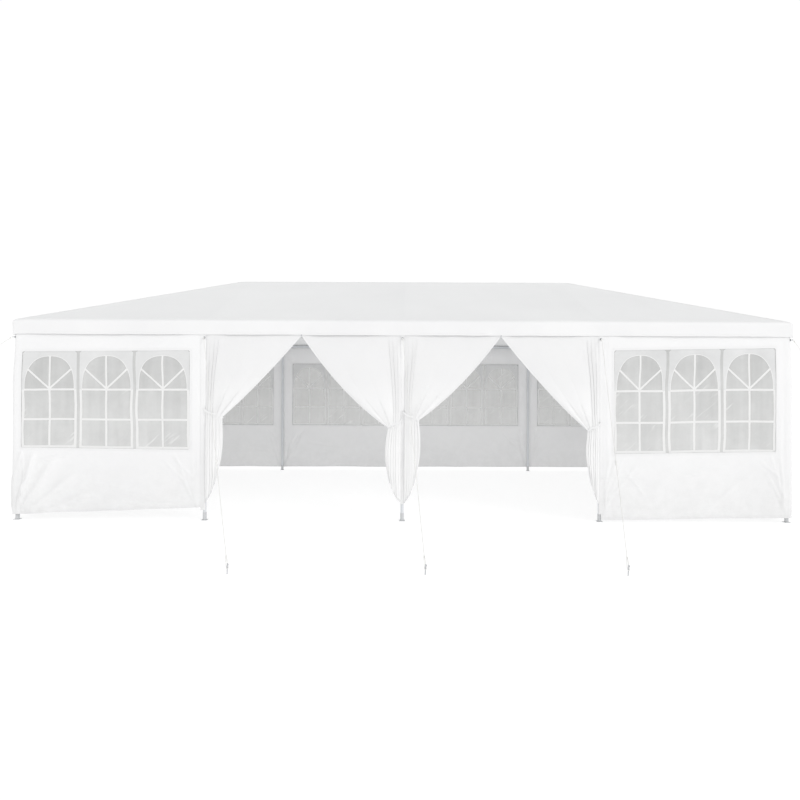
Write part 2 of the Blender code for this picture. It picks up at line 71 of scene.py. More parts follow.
eye = bpy.data.objects.new("camera", bpy.data.cameras.new("camera"))
bpy.context.scene.collection.objects.link(eye)
eye.data.sensor_width = camera["sensor"]
eye.data.lens = camera["sensor"] * camera["focalPixels"] / camera["imagePixels"]
eye.data.shift_x = camera["shiftPixels"][0] / camera["imagePixels"]
eye.data.shift_y = camera["shiftPixels"][1] / camera["imagePixels"]
eye.data.clip_end = 200
eye.matrix_world = (
    Matrix.Translation(camera["place"])
    @ Matrix.Rotation(math.radians(90), 4, "X")
    @ Matrix.Rotation(math.radians(camera["roll"]), 4, "Z")
)
bpy.context.scene.camera = eye

# Nodes and materials


def setSocket(tree, socket, value):
    if isinstance(value, bpy.types.NodeSocket):
        tree.links.new(value, socket)
    else:
        socket.default_value = value


def addNode(tree, kind, settings=None, **inputs):
    # Inputs go by name, or by number as i0, i1 and so on.
    node = tree.nodes.new(kind)
    for key, value in (settings or {}).items():
        setattr(node, key, value)
    for key, value in inputs.items():
        numbered = key[0] == "i" and key[1:].isdigit()
        setSocket(tree, node.inputs[int(key[1:]) if numbered else key.replace("_", " ")], value)
    return node


def plainNode(tree, kind, colour):
    # A shader with one even colour.
    node = addNode(tree, kind)
    node.inputs["Color"].default_value = (*colour, 1)
    return node


def mathNode(tree, operation, a, b=0.0, clamp=False):
    node = addNode(tree, "ShaderNodeMath", {"operation": operation, "use_clamp": clamp}, i0=a, i1=b)
    return node.outputs[0]


def mixColour(tree, share, first, second):
    node = addNode(tree, "ShaderNodeMix", {"data_type": "RGBA"}, i0=share)
    for index, value in ((6, first), (7, second)):
        setSocket(tree, node.inputs[index], (*value, 1) if isinstance(value, tuple) else value)
    return node.outputs[2]


def mixShader(tree, share, first, second):
    return addNode(tree, "ShaderNodeMixShader", None, i0=share, i1=first, i2=second).outputs[0]


def bumpNode(tree, height, strength, distance, under=None):
    node = addNode(tree, "ShaderNodeBump", None, Height=height, Strength=strength, Distance=distance)
    if under is not None:
        tree.links.new(under, node.inputs["Normal"])
    return node.outputs[0]


def levelOf(tree, place):
    return addNode(tree, "ShaderNodeSeparateXYZ", None, Vector=place).outputs[2]


def noiseNode(tree, place, scale, detail=3.0, roughness=0.5):
    numbers = {"Scale": scale, "Detail": detail, "Roughness": roughness}
    return addNode(tree, "ShaderNodeTexNoise", None, Vector=place, **numbers).outputs[0]


def rangeNode(tree, value, low, high, newLow, newHigh):
    node = addNode(tree, "ShaderNodeMapRange", None, Value=value)
    for index, number in zip((1, 2, 3, 4), (low, high, newLow, newHigh)):
        node.inputs[index].default_value = number
    return node.outputs[0]


def newMaterial(name):
    material = bpy.data.materials.new(name)
    material.use_nodes = True
    material.node_tree.nodes.clear()
    return material, material.node_tree


def finishMaterial(tree, surface):
    addNode(tree, "ShaderNodeOutputMaterial", None, Surface=surface)


def surfacePlaces(tree):
    # Flat cloth coordinates in metres, and the place in the tent.
    cloth = addNode(tree, "ShaderNodeUVMap", {"uv_map": "cloth"}).outputs[0]
    place = addNode(tree, "ShaderNodeTexCoord").outputs["Object"]
    return cloth, place


def patchyColour(tree, place, look):
    # Soft patches of the two main colours, and the patches themselves, which also vary the roughness.
    patches = noiseNode(tree, place, look["patchScale"], 4.0, 0.6)
    share = rangeNode(tree, patches, 0.3, 0.7, 0.0, 1.0)
    return patches, mixColour(tree, share, look["shade"], look["light"])


def weaveHeight(tree, cloth, pitch):
    # Flat tapes that pass over and under each other.
    scale = math.pi / 10 / pitch  # at scale 1 a wave is pi / 10 long
    across = addNode(tree, "ShaderNodeTexWave", {"bands_direction": "X"}, Vector=cloth, Scale=scale)
    along = addNode(tree, "ShaderNodeTexWave", {"bands_direction": "Y"}, Vector=cloth, Scale=scale)
    return mathNode(tree, "MULTIPLY", across.outputs[1], along.outputs[1])


def foldLines(tree, cloth, spacing, width):
    # The grid of creases that a cover keeps from its packing.
    parts = addNode(tree, "ShaderNodeSeparateXYZ", None, Vector=cloth)
    lines = []
    for axis, gap in enumerate(spacing):
        steps = mathNode(tree, "FRACT", mathNode(tree, "DIVIDE", parts.outputs[axis], gap))
        away = mathNode(tree, "ABSOLUTE", mathNode(tree, "SUBTRACT", steps, 0.5))
        lines.append(rangeNode(tree, away, 0.0, width / gap, 1.0, 0.0))
    return mathNode(tree, "MAXIMUM", lines[0], lines[1])


def clothMaterial(name, look):
    material, tree = newMaterial(name)
    cloth, place = surfacePlaces(tree)
    patches, colour = patchyColour(tree, place, look)
    level = levelOf(tree, place)
    if "gathered" in look:
        # Low down on the doors, where the folds lie over each other and shade each other, the colour is
        # painted lighter: painted light that lifts that shade.
        low = rangeNode(tree, level, *look["tailPaintedLightLevels"], 1.0, 0.0)
        colour = mixColour(tree, low, colour, look["gathered"])
    # Darker specks towards the bottom of the cloth, fading out higher up.
    lowDarkening = rangeNode(tree, level, *look["lowDarkeningLevels"], look["lowDarkening"], 0.0)
    specks = mathNode(tree, "MULTIPLY", lowDarkening, noiseNode(tree, place, look["speckScale"], 5.0, 0.7))
    colour = mixColour(tree, specks, colour, look["lowDarkColour"])
    weave = weaveHeight(tree, cloth, look["weave"])
    folds = foldLines(tree, cloth, look["foldSpacing"], look["foldWidth"])
    crinkle = noiseNode(tree, place, look["crinkleScale"], 4.0, 0.55)
    bumps = bumpNode(tree, weave, look["weaveStrength"], look["weaveDepth"])
    bumps = bumpNode(tree, crinkle, look["crinkle"], look["crinkleDepth"], bumps)
    bumps = bumpNode(tree, folds, look["fold"], look["foldDepth"], bumps)
    rough = rangeNode(tree, patches, 0.2, 0.8, look["roughness"] - 0.06, look["roughness"] + 0.08)
    face = addNode(tree, "ShaderNodeBsdfPrincipled", None, Base_Color=colour, Roughness=rough, Normal=bumps)
    face.inputs["Specular IOR Level"].default_value = look["gloss"]
    through = addNode(tree, "ShaderNodeBsdfTranslucent", None, Color=colour, Normal=bumps)
    finishMaterial(tree, mixShader(tree, look["through"], face.outputs[0], through.outputs[0]))
    return material


def filmMaterial(name, look):
    # Clear vinyl: mostly see-through, with a milky bloom and a soft gloss that the ripples catch.
    material, tree = newMaterial(name)
    cloth, place = surfacePlaces(tree)
    smear = mathNode(tree, "MULTIPLY", noiseNode(tree, place, look["smearScale"], 3.0, 0.6), look["smear"])
    bloom = mathNode(tree, "ADD", noiseNode(tree, place, look["bloomScale"], 4.0, 0.55), smear)
    haze = rangeNode(tree, bloom, 0.4, 0.95, look["haze"] - look["bloom"], look["haze"] + look["bloom"])
    # More milky face low down, painted light for the brighter view through the lower glass; soft upright bands
    # of haze; and painted highlights along slanting crease lines, in patches.
    slope = look["lowPaintedLight"]
    low = rangeNode(tree, levelOf(tree, place), *look["lowPaintedLightLevels"], slope, -slope)
    haze = mathNode(tree, "ADD", haze, low)
    upright = addNode(tree, "ShaderNodeMapping", None, Vector=cloth, Scale=look["bandStretch"]).outputs[0]
    bands = rangeNode(tree, noiseNode(tree, upright, 1.0, 2.0), 0.3, 0.7, -look["bands"], look["bands"])
    haze = mathNode(tree, "ADD", haze, bands)
    # Painted highlights: thin slanting lines of extra milky face, where creases would catch the light.
    slant = addNode(tree, "ShaderNodeMapping", {"vector_type": "TEXTURE"}, Vector=cloth,
                    Rotation=(0.0, 0.0, look["glintTurn"]), Scale=look["glintStretch"]).outputs[0]
    lines = rangeNode(tree, noiseNode(tree, slant, 1.0, 2.0), 0.58, 0.72, 0.0, 1.0)
    patch = rangeNode(tree, noiseNode(tree, cloth, look["glintPatch"], 2.0), 0.50, 0.64, 0.0, look["paintedCreaseGlint"])
    haze = mathNode(tree, "ADD", haze, mathNode(tree, "MULTIPLY", lines, patch))
    rim = addNode(tree, "ShaderNodeFresnel", None, IOR=look["bending"]).outputs[0]
    share = mathNode(tree, "ADD", haze, mathNode(tree, "MULTIPLY", rim, look["rim"]), True)
    waves = noiseNode(tree, place, look["rippleScale"], 2.0, 0.45)
    ripple = bumpNode(tree, waves, look["ripple"], look["rippleDepth"])
    face = addNode(tree, "ShaderNodeBsdfPrincipled", None, Roughness=look["roughness"], Normal=ripple)
    face.inputs["Base Color"].default_value = (*look["face"], 1)
    face.inputs["Specular IOR Level"].default_value = look["gloss"]
    milk = plainNode(tree, "ShaderNodeBsdfTranslucent", look["face"])
    body = mixShader(tree, look["through"], face.outputs[0], milk.outputs[0])
    clear = plainNode(tree, "ShaderNodeBsdfTransparent", look["clear"])
    finishMaterial(tree, mixShader(tree, share, clear.outputs[0], body))
    return material


def hardMaterial(name, look):
    # Paint, zinc or moulded plastic: a fine skin, soft patches, wear, and where given a greyer colour below a
    # level.
    material, tree = newMaterial(name)
    place = surfacePlaces(tree)[1]
    patches, colour = patchyColour(tree, place, look)
    marks = noiseNode(tree, place, look["scuffScale"], 6.0, 0.72)
    scuffs = rangeNode(tree, marks, 0.62, 0.74, 0.0, look["scuff"])
    colour = mixColour(tree, scuffs, colour, look["worn"])
    if "foot" in look:
        low = rangeNode(tree, levelOf(tree, place), *look["footLevels"], 1.0, 0.0)
        colour = mixColour(tree, low, colour, look["foot"])
    skin = bumpNode(tree, noiseNode(tree, place, look["skinScale"], 2.0), look["skin"], look["skinDepth"])
    rough = rangeNode(tree, patches, 0.2, 0.8, look["roughness"] - 0.08, look["roughness"] + 0.1)
    face = addNode(tree, "ShaderNodeBsdfPrincipled", None, Base_Color=colour, Roughness=rough, Normal=skin)
    face.inputs["Metallic"].default_value = look["metal"]
    finishMaterial(tree, face.outputs[0])
    return material


clothLook = {
    "light": (0.875, 0.875, 0.877),
    "shade": (0.84, 0.84, 0.845),
    "patchScale": 0.9,
    "lowDarkColour": (0.60, 0.60, 0.595),
    "lowDarkening": 0.62,
    "lowDarkeningLevels": (0.05, 1.0),
    "speckScale": 9.0,
    "weave": 0.0025,
    "weaveStrength": 0.25,
    "weaveDepth": 0.0002,
    "crinkle": 0.45,
    "crinkleScale": 6.0,
    "crinkleDepth": 0.004,
    "fold": 0.12,
    "foldSpacing": (0.58, 0.74),
    "foldWidth": 0.006,
    "foldDepth": 0.002,
    "roughness": 0.52,
    "gloss": 0.35,
    "through": 0.05,
}
coverCloth = clothMaterial("coverCloth", {
    **clothLook, "light": (0.855, 0.86, 0.862), "shade": (0.825, 0.83, 0.833)})
wallCloth = clothMaterial("wallCloth", clothLook)
# Low down the door cloth is painted lighter, painted light against the shade of its folds.
doorCloth = clothMaterial("doorCloth", {
    **clothLook, "light": (0.835, 0.835, 0.837), "shade": (0.81, 0.81, 0.815), "through": 0.10, "fold": 0.05,
    "gathered": (0.93, 0.93, 0.93), "tailPaintedLightLevels": (0.85, 1.7), "lowDarkening": 0.1})
hemCloth = clothMaterial("hemCloth", {**clothLook, "crinkle": 0.08, "fold": 0.0})
whitePrint = clothMaterial("whitePrint", {
    **clothLook, "light": (0.88, 0.88, 0.875), "shade": (0.86, 0.86, 0.855), "weaveStrength": 0.04,
    "crinkle": 0.1, "fold": 0.0, "roughness": 0.35, "gloss": 0.5, "through": 0.12})

filmLook = {
    "face": (0.84, 0.845, 0.84),
    "clear": (0.34, 0.34, 0.33),
    "haze": 0.655,
    "bloom": 0.07,
    "bloomScale": 2.3,
    "smear": 0.3,
    "smearScale": 14.0,
    "lowPaintedLight": 0.045,
    "lowPaintedLightLevels": (0.9, 1.9),
    "bands": 0.05,
    "bandStretch": (9.0, 0.8, 1.0),
    "paintedCreaseGlint": 0.24,
    "glintTurn": -0.85,
    "glintStretch": (0.035, 0.30, 1.0),
    "glintPatch": 1.9,
    "rim": 0.4,
    "bending": 1.5,
    "ripple": 0.5,
    "rippleScale": 7.0,
    "rippleDepth": 0.006,
    "roughness": 0.16,
    "gloss": 0.6,
    "through": 0.12,
}
windowFilm = filmMaterial("windowFilm", filmLook)
windowEdgeFilm = filmMaterial("windowEdgeFilm", {
    **filmLook, "haze": 0.68, "paintedCreaseGlint": 0.06, "face": (0.82, 0.825, 0.82), "clear": (0.30, 0.30, 0.29),
    "roughness": 0.14, "bands": 0.0})
cornerPrint = filmMaterial("cornerPrint", {
    **filmLook, "haze": 0.90, "paintedCreaseGlint": 0.05, "face": (0.83, 0.835, 0.835), "clear": (0.40, 0.405, 0.405),
    "ripple": 0.4, "roughness": 0.3, "through": 0.06, "bands": 0.0})

steelLook = {
    "light": (0.70, 0.72, 0.74),
    "shade": (0.64, 0.66, 0.685),
    "patchScale": 3.0,
    "worn": (0.48, 0.47, 0.45),
    "scuff": 0.5,
    "scuffScale": 26.0,
    "skin": 0.25,
    "skinScale": 420.0,
    "skinDepth": 0.0004,
    "roughness": 0.36,
    "metal": 0.0,
}
# The frame's paint is white: this grey-blue is painted shade, as the poles stand in the tent's shade. Below
# the foot level it turns greyer.
paintedSteel = hardMaterial("paintedSteel", {
    **steelLook, "foot": (0.56, 0.57, 0.58), "footLevels": (0.088, 0.094)})
zincSteel = hardMaterial("zincSteel", {
    **steelLook, "light": (0.62, 0.63, 0.65), "shade": (0.48, 0.49, 0.51), "worn": (0.30, 0.28, 0.26),
    "skinScale": 90.0, "roughness": 0.42, "metal": 0.85})
darkSteel = hardMaterial("darkSteel", {
    **steelLook, "light": (0.30, 0.31, 0.32), "shade": (0.22, 0.23, 0.24), "worn": (0.16, 0.15, 0.14),
    "metal": 0.5})
paleNylon = hardMaterial("paleNylon", {
    **steelLook, "light": (0.86, 0.86, 0.85), "shade": (0.80, 0.80, 0.79), "worn": (0.62, 0.60, 0.57),
    "skinScale": 260.0, "roughness": 0.5, "scuff": 0.25})
twistedCord = hardMaterial("twistedCord", {
    **steelLook, "light": (0.88, 0.88, 0.86), "shade": (0.80, 0.80, 0.78), "worn": (0.60, 0.57, 0.52),
    "patchScale": 12.0, "scuff": 0.35, "scuffScale": 60.0, "skin": 0.6, "skinScale": 900.0, "roughness": 0.75})
print("materials made")

# Meshes from numbers


def softNoise(x, y, seed):
    # Smooth noise between -1 and 1, one cell to a unit.
    x, y = np.broadcast_arrays(np.asarray(x, float), np.asarray(y, float))
    cellX, cellY = np.floor(x), np.floor(y)
    u, v = x - cellX, y - cellY
    u, v = u * u * (3 - 2 * u), v * v * (3 - 2 * v)

    def corner(dx, dy):
        mixed = np.sin((cellX + dx) * 127.1 + (cellY + dy) * 311.7 + seed * 74.7) * 43758.5453
        return 2 * (mixed - np.floor(mixed)) - 1

    low = corner(0, 0) * (1 - u) + corner(1, 0) * u
    high = corner(0, 1) * (1 - u) + corner(1, 1) * u
    return low * (1 - v) + high * v


def smoothStep(value, low, high):
    t = np.clip((value - low) / (high - low), 0, 1)
    return t * t * (3 - 2 * t)


def fromPosts(along, posts):
    return np.min([np.abs(along - post) for post in posts], axis=0)


def spaced(*stops):
    # Numbers that run through the stops, about step apart: (start, step, next stop, step, ...).
    numbers = [np.array([stops[0]], float)]
    for step, stop in zip(stops[1::2], stops[2::2]):
        start = numbers[-1][-1]
        count = max(1, int(round(abs(stop - start) / step)))
        numbers.append(np.linspace(start, stop, count + 1)[1:])
    return np.concatenate(numbers)


def newShape():
    return {"points": [], "cloth": [], "faces": [], "marks": [], "count": 0}


def addPoints(shape, points, cloth=None):
    points = np.asarray(points, float).reshape(-1, 3)
    cloth = points[:, [0, 2]] if cloth is None else np.asarray(cloth, float).reshape(-1, 2)
    first = shape["count"]
    shape["points"].append(points)
    shape["cloth"].append(cloth)
    shape["count"] += len(points)
    return first


def addFaces(shape, faces, mark=0):
    faces = np.asarray(faces, int)
    shape["faces"] += faces.tolist()
    shape["marks"] += [mark] * len(faces)


def addGrid(shape, points, cloth, keep=None, marks=None, flip=False):
    rows, columns = points.shape[:2]
    first = addPoints(shape, points, cloth)
    index = first + np.arange(rows * columns).reshape(rows, columns)
    quads = np.stack([index[:-1, :-1], index[:-1, 1:], index[1:, 1:], index[1:, :-1]], -1)
    if flip:
        quads = quads[..., ::-1]
    keep = np.ones(quads.shape[:2], bool) if keep is None else keep
    marks = np.zeros(quads.shape[:2], int) if marks is None else marks
    shape["faces"] += quads[keep].tolist()
    shape["marks"] += marks[keep].tolist()
    return index


def unit(vectors):
    vectors = np.asarray(vectors, float)
    return vectors / np.maximum(np.linalg.norm(vectors, axis=-1, keepdims=True), 1e-12)


def addSleeve(shape, rings, cloth=None, mark=0, closed=False):
    # Faces round rings of points that follow each other, with capped ends unless the last meets the first.
    count, sides = rings.shape[:2]
    first = addPoints(shape, rings, cloth)
    index = first + np.arange(count * sides).reshape(count, sides)
    whole = np.vstack([index, index[:1]]) if closed else index
    for k in range(sides):
        n = (k + 1) % sides
        addFaces(shape, np.stack([whole[:-1, k], whole[:-1, n], whole[1:, n], whole[1:, k]], -1), mark)
    if not closed:
        addFaces(shape, [index[0, ::-1], index[-1]], mark)


def runAlong(line):
    return np.r_[0, np.cumsum(np.linalg.norm(np.diff(line, axis=0), axis=1))]


def ringPoints(across, over, radius, turn):
    # Points round a centre, on two directions that stand square to each other.
    acrossRadius, overRadius = np.broadcast_to(radius, 2)
    return np.outer(np.cos(turn), across) * acrossRadius + np.outer(np.sin(turn), over) * overRadius


def addStrip(shape, line, across, out, width, thick, closed=False):
    # A flat tape of real thickness along a line. It lies from the line outwards.
    line = np.asarray(line, float)
    across = np.broadcast_to(unit(across), line.shape) * width / 2
    out = np.broadcast_to(unit(out), line.shape) * thick
    rings = np.stack([line - across, line + across, line + across + out, line - across + out], 1)
    run, side = np.broadcast_arrays(runAlong(line)[:, None], np.array([0, width, width, 0]))
    cloth = np.stack([run, side], -1)
    addSleeve(shape, rings, cloth, closed=closed)


def addTube(shape, line, radius, sides=8, mark=0, closed=False):
    line = np.asarray(line, float)
    radius = np.broadcast_to(np.asarray(radius, float), len(line))
    if closed:
        tangent = unit(np.roll(line, -1, 0) - np.roll(line, 1, 0))
    else:
        tangent = unit(np.gradient(line, axis=0))
    normal = np.zeros_like(line)
    start = np.cross(tangent[0], (0, 0, 1) if abs(tangent[0][2]) < 0.9 else (1, 0, 0))
    normal[0] = unit(start)
    for i in range(1, len(line)):
        carried = normal[i - 1] - tangent[i] * (normal[i - 1] @ tangent[i])
        normal[i] = carried / np.linalg.norm(carried)
    other = np.cross(tangent, normal)
    angle = math.tau * np.arange(sides) / sides
    spokes = normal[:, None] * np.cos(angle)[None, :, None] + other[:, None] * np.sin(angle)[None, :, None]
    addSleeve(shape, line[:, None] + radius[:, None, None] * spokes, mark=mark, closed=closed)


def addBlock(shape, middle, axes, size, round_, mark=0):
    # A box with rounded edges, set on its own three axes.
    bm = bmesh.new()
    bmesh.ops.create_cube(bm, size=1)
    bmesh.ops.scale(bm, vec=size, verts=bm.verts)
    bmesh.ops.bevel(bm, geom=bm.edges[:], offset=round_, segments=2, affect="EDGES", profile=0.5)
    turn = np.array([unit(axis) for axis in axes])
    points = np.array([vertex.co[:] for vertex in bm.verts]) @ turn + np.asarray(middle, float)
    bm.verts.index_update()
    first = addPoints(shape, points)
    for face in bm.faces:
        shape["faces"].append([first + vertex.index for vertex in face.verts])
        shape["marks"].append(mark)
    bm.free()


def makePiece(name, shape, materials, sharp=None):
    mesh = bpy.data.meshes.new(name)
    mesh.from_pydata(np.concatenate(shape["points"]).tolist(), [], shape["faces"])
    cloth = np.concatenate(shape["cloth"])
    corners = np.empty(len(mesh.loops), np.int32)
    mesh.loops.foreach_get("vertex_index", corners)
    layer = mesh.uv_layers.new(name="cloth")
    layer.data.foreach_set("uv", cloth[corners].astype(np.float32).ravel())
    for material in materials:
        mesh.materials.append(material)
    mesh.polygons.foreach_set("material_index", np.array(shape["marks"], np.int32))
    mesh.validate()
    piece = bpy.data.objects.new(name, mesh)
    bpy.context.scene.collection.objects.link(piece)
    mesh.shade_smooth()
    if sharp:
        mesh.set_sharp_from_angle(angle=math.radians(sharp))
    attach(piece, "root")
    return piece


# Roof cover: one sheet over the ridge, the hips and the eaves, with the valance hanging from it

cover = {
    "hipCells": 72,
    "middleCells": 172,
    "valanceRows": 8,
    "hipRound": 0.030,
    "ridgeRound": 0.014,
    "eaveRound": 0.024,
    "sag": 0.026,
    "tension": 0.0022,
    "valanceOut": 0.004,
    "valanceIn": 0.0085,
    "valanceWave": 0.0035,
    "postPull": 0.26,
    "apexPull": 0.13,
    "seamWidth": 0.024,
    "hemWidth": 0.022,
    "tapeThick": 0.0009,
    "tapeLift": 0.0005,
    "hipTape": 0.6,
    "heldBeyond": (4.47, 1.97),
    "ridgeHold": 0.025,
    "rafterHold": 0.02,
    "hipHold": 0.012,
    "settling": 900,
    "droop": 0.003,
}


def smoothMax(a, b, width):
    close = np.clip((width - np.abs(a - b)) / width, 0, 1)
    return np.maximum(a, b) + close * close * width / 4


def plainRoof(x, y):
    rise = tent["ridge"] - tent["eave"]
    fromRidge = np.sqrt(y * y + cover["ridgeRound"] ** 2) - cover["ridgeRound"] * np.exp(-np.abs(y) / 0.3)
    side = rise * fromRidge / tent["halfY"]
    hip = rise * np.maximum(0, np.abs(x) - tent["halfRidge"]) / (tent["halfX"] - tent["halfRidge"])
    return tent["ridge"] - smoothMax(side, hip, cover["hipRound"])


def foldDown(t, width):
    # How far a point beyond the eave hangs down, rounded over the rail.
    t = np.asarray(t, float)
    near = (t + width) ** 2 / (4 * width)
    return np.where(t < -width, 0.0, np.where(t > width, t, near))


def postPull(along, posts, reach):
    return np.exp(-((fromPosts(along, posts) / reach) ** 4))


drop = tent["valance"]
hipX = np.linspace(tent["halfRidge"], tent["halfX"], cover["hipCells"] + 1)
middleX = np.linspace(-tent["halfRidge"], tent["halfRidge"], cover["middleCells"] + 1)
below = np.linspace(0, drop, cover["valanceRows"] + 1)[1:]
beyond = tent["halfX"] + below
gridX = np.concatenate([-beyond[::-1], -hipX[:0:-1], middleX, hipX[1:], beyond])
hipY = np.linspace(0, tent["halfY"], cover["hipCells"] + 1)
beyond = tent["halfY"] + below
gridY = np.concatenate([-beyond[::-1], -hipY[:0:-1], hipY, beyond])
across, along = np.meshgrid(gridX, gridY)
foldX = foldDown(np.abs(across) - tent["halfX"], cover["eaveRound"])
foldY = foldDown(np.abs(along) - tent["halfY"], cover["eaveRound"])
roofX = np.sign(across) * (np.abs(across) - foldX)
roofY = np.sign(along) * (np.abs(along) - foldY)

# The cloth sags between the tubes that hold it: a membrane that settles under an even load.
outX, outY = np.abs(roofX), np.abs(roofY)
held = (outX > cover["heldBeyond"][0]) | (outY > cover["heldBeyond"][1])
held |= (outY < cover["ridgeHold"]) & (outX < tent["halfRidge"])
for post in tent["postsX"][1:4]:
    held |= np.abs(roofX - post) < cover["rafterHold"]
fromHip = np.abs((outX - tent["halfRidge"]) / (tent["halfX"] - tent["halfRidge"]) - outY / tent["halfY"])
held |= (fromHip < cover["hipHold"]) & (outX > tent["halfRidge"])
slack = np.zeros_like(roofX)
for step in range(cover["settling"]):
    inner = (slack[1:-1, :-2] + slack[1:-1, 2:] + slack[:-2, 1:-1] + slack[2:, 1:-1]) / 4 + 1.0
    slack[1:-1, 1:-1] = np.where(held[1:-1, 1:-1], 0.0, inner)
slack *= cover["sag"] / slack.max()
loose = np.clip(slack / cover["sag"], 0, 1)

roofZ = plainRoof(roofX, roofY) - foldX - foldY - slack
ripples = softNoise(roofX * 2.6, roofY * 0.9, 3) + 0.6 * softNoise(roofX * 6.5 + roofY, roofY * 1.7, 5)
roofZ += cover["tension"] * ripples * smoothStep(loose, 0.0, 0.35)

hangX = np.clip(foldX / drop, 0, 1)
hangY = np.clip(foldY / drop, 0, 1)
pullX = postPull(roofX, tent["postsX"], cover["postPull"])
pullX = np.maximum(pullX, postPull(roofX, tent["apexes"], cover["apexPull"]) * (along < 0))
pullY = postPull(roofY, tent["postsY"], cover["postPull"])
waveX = softNoise(roofX * 2.2, 0.0, 7) + 0.5 * softNoise(roofX * 6.0, 0.0, 8)
waveY = softNoise(roofY * 2.2, 0.0, 9) + 0.5 * softNoise(roofY * 6.0, 0.0, 10)


def valanceOffset(hang, pull, wave):
    loosely = cover["valanceOut"] + cover["valanceWave"] * wave
    return hang * (loosely * (1 - pull) - cover["valanceIn"] * pull)


roofY = roofY + np.sign(along) * valanceOffset(hangY, pullX, waveX)
roofX = roofX + np.sign(across) * valanceOffset(hangX, pullY, waveY)
roofZ -= cover["droop"] * (hangY * waveX + hangX * waveY) * (hangX + hangY < 1.01)

coverPoints = np.stack([roofX, roofY, roofZ], -1)
rows, columns = coverPoints.shape[:2]
band = cover["valanceRows"]
keepFaces = np.ones((rows - 1, columns - 1), bool)
for rowPart in (slice(0, band), slice(rows - 1 - band, None)):
    for columnPart in (slice(0, band), slice(columns - 1 - band, None)):
        keepFaces[rowPart, columnPart] = False
coverShape = newShape()
centreRow = rows // 2
firstMiddle = band + cover["hipCells"]
hips = []
for columnStart, columnWay in ((firstMiddle, -1), (columns - 1 - firstMiddle, 1)):
    for rowWay in (-1, 1):
        step = np.arange(cover["hipCells"])
        row, column = centreRow + rowWay * step, columnStart + columnWay * step
        keepFaces[row - (rowWay < 0), column - (columnWay < 0)] = False
        hips.append((row, column, rowWay, columnWay))
# The valance and the eave row take the wall cloth, which is lighter than the roof's own cloth though both are
# one sheet: painted light on the valance.
coverMarks = np.ones((rows - 1, columns - 1), int)
coverMarks[band + 1:rows - 2 - band, band + 1:columns - 2 - band] = 0
index = addGrid(coverShape, coverPoints, np.stack([across, along], -1), keepFaces, coverMarks)
for row, column, rowWay, columnWay in hips:
    inner, outer = index[row, column], index[row + rowWay, column + columnWay]
    addFaces(coverShape, np.stack([inner, outer, index[row + rowWay, column]], -1))
    addFaces(coverShape, np.stack([outer, inner, index[row, column + columnWay]], -1))
# The valance turns each corner with a fan of small faces.
for rowEnd, rowStep in ((band, -1), (rows - 1 - band, 1)):
    for columnEnd, columnStep in ((band, -1), (columns - 1 - band, 1)):
        for k in range(band):
            a = index[rowEnd + rowStep * k, columnEnd]
            b = index[rowEnd + rowStep * (k + 1), columnEnd]
            c = index[rowEnd, columnEnd + columnStep * (k + 1)]
            d = index[rowEnd, columnEnd + columnStep * k]
            corner = [a, b, c] if a == d else [a, b, c, d]
            addFaces(coverShape, [corner if rowStep * columnStep > 0 else corner[::-1]], 1)
roofCover = makePiece("roofCover", coverShape, [coverCloth, wallCloth])
# The grid's unused corner points go, and all faces are turned the same way out.
bm = bmesh.new()
bm.from_mesh(roofCover.data)
bmesh.ops.delete(bm, geom=[v for v in bm.verts if not v.link_faces], context="VERTS")
bmesh.ops.recalc_face_normals(bm, faces=bm.faces)
bm.to_mesh(roofCover.data)
bm.free()

# Seam tapes over the ridge and the hips, and the stitched hem of the valance.


def addTape(shape, left, middle, right):
    # A tape folded over a crease: it touches the cloth along both its sides.
    low = np.array((0, 0, cover["tapeLift"]))
    high = low + (0, 0, cover["tapeThick"])
    under, over = (left + low, middle + low, right + low), (right + high, middle + high, left + high)
    addSleeve(shape, np.stack(under + over, 1))


seamShape = newShape()
left, middle, right = (coverPoints[centreRow + k, firstMiddle:columns - firstMiddle] for k in (-1, 0, 1))
share = cover["seamWidth"] / 2 / abs(right[0, 1])
addTape(seamShape, middle + share * (left - middle), middle, middle + share * (right - middle))
share = cover["hipTape"]
for row, column, rowWay, columnWay in hips:
    middle = (coverPoints[row, column] + coverPoints[row + rowWay, column + columnWay]) / 2
    left, right = coverPoints[row + rowWay, column], coverPoints[row, column + columnWay]
    addTape(seamShape, middle + share * (left - middle), middle, middle + share * (right - middle))
bottomRows = [coverPoints[row, band:columns - band] for row in (0, rows - 1)]
bottomColumns = [coverPoints[band:rows - band, column] for column in (columns - 1, 0)]
for line, way, out in ((bottomRows[0], 1, (0, -1, 0)), (bottomColumns[0], 1, (1, 0, 0)),
                       (bottomRows[1], -1, (0, 1, 0)), (bottomColumns[1], -1, (-1, 0, 0))):
    lifted = line[::way] + (0, 0, cover["hemWidth"] / 2) + np.array(out) * 0.0006
    addStrip(seamShape, lifted, (0, 0, 1), out, cover["hemWidth"], cover["tapeThick"])
coverSeams = makePiece("coverSeams", seamShape, [hemCloth], sharp=50)
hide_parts("roof_cover")
holders = ["ridge_pole"]
holders += [f"{place}_rafters" for place in ("left", "middle", "right", "left_hip", "right_hip")]
holders += [f"{side}_eave_rail" for side in ("front", "back", "left", "right")]
print("roof cover:", len(roofCover.data.polygons), "faces")

# Walls: a sheet in each front end bay, one along the back and one at each end, with a hole for each window

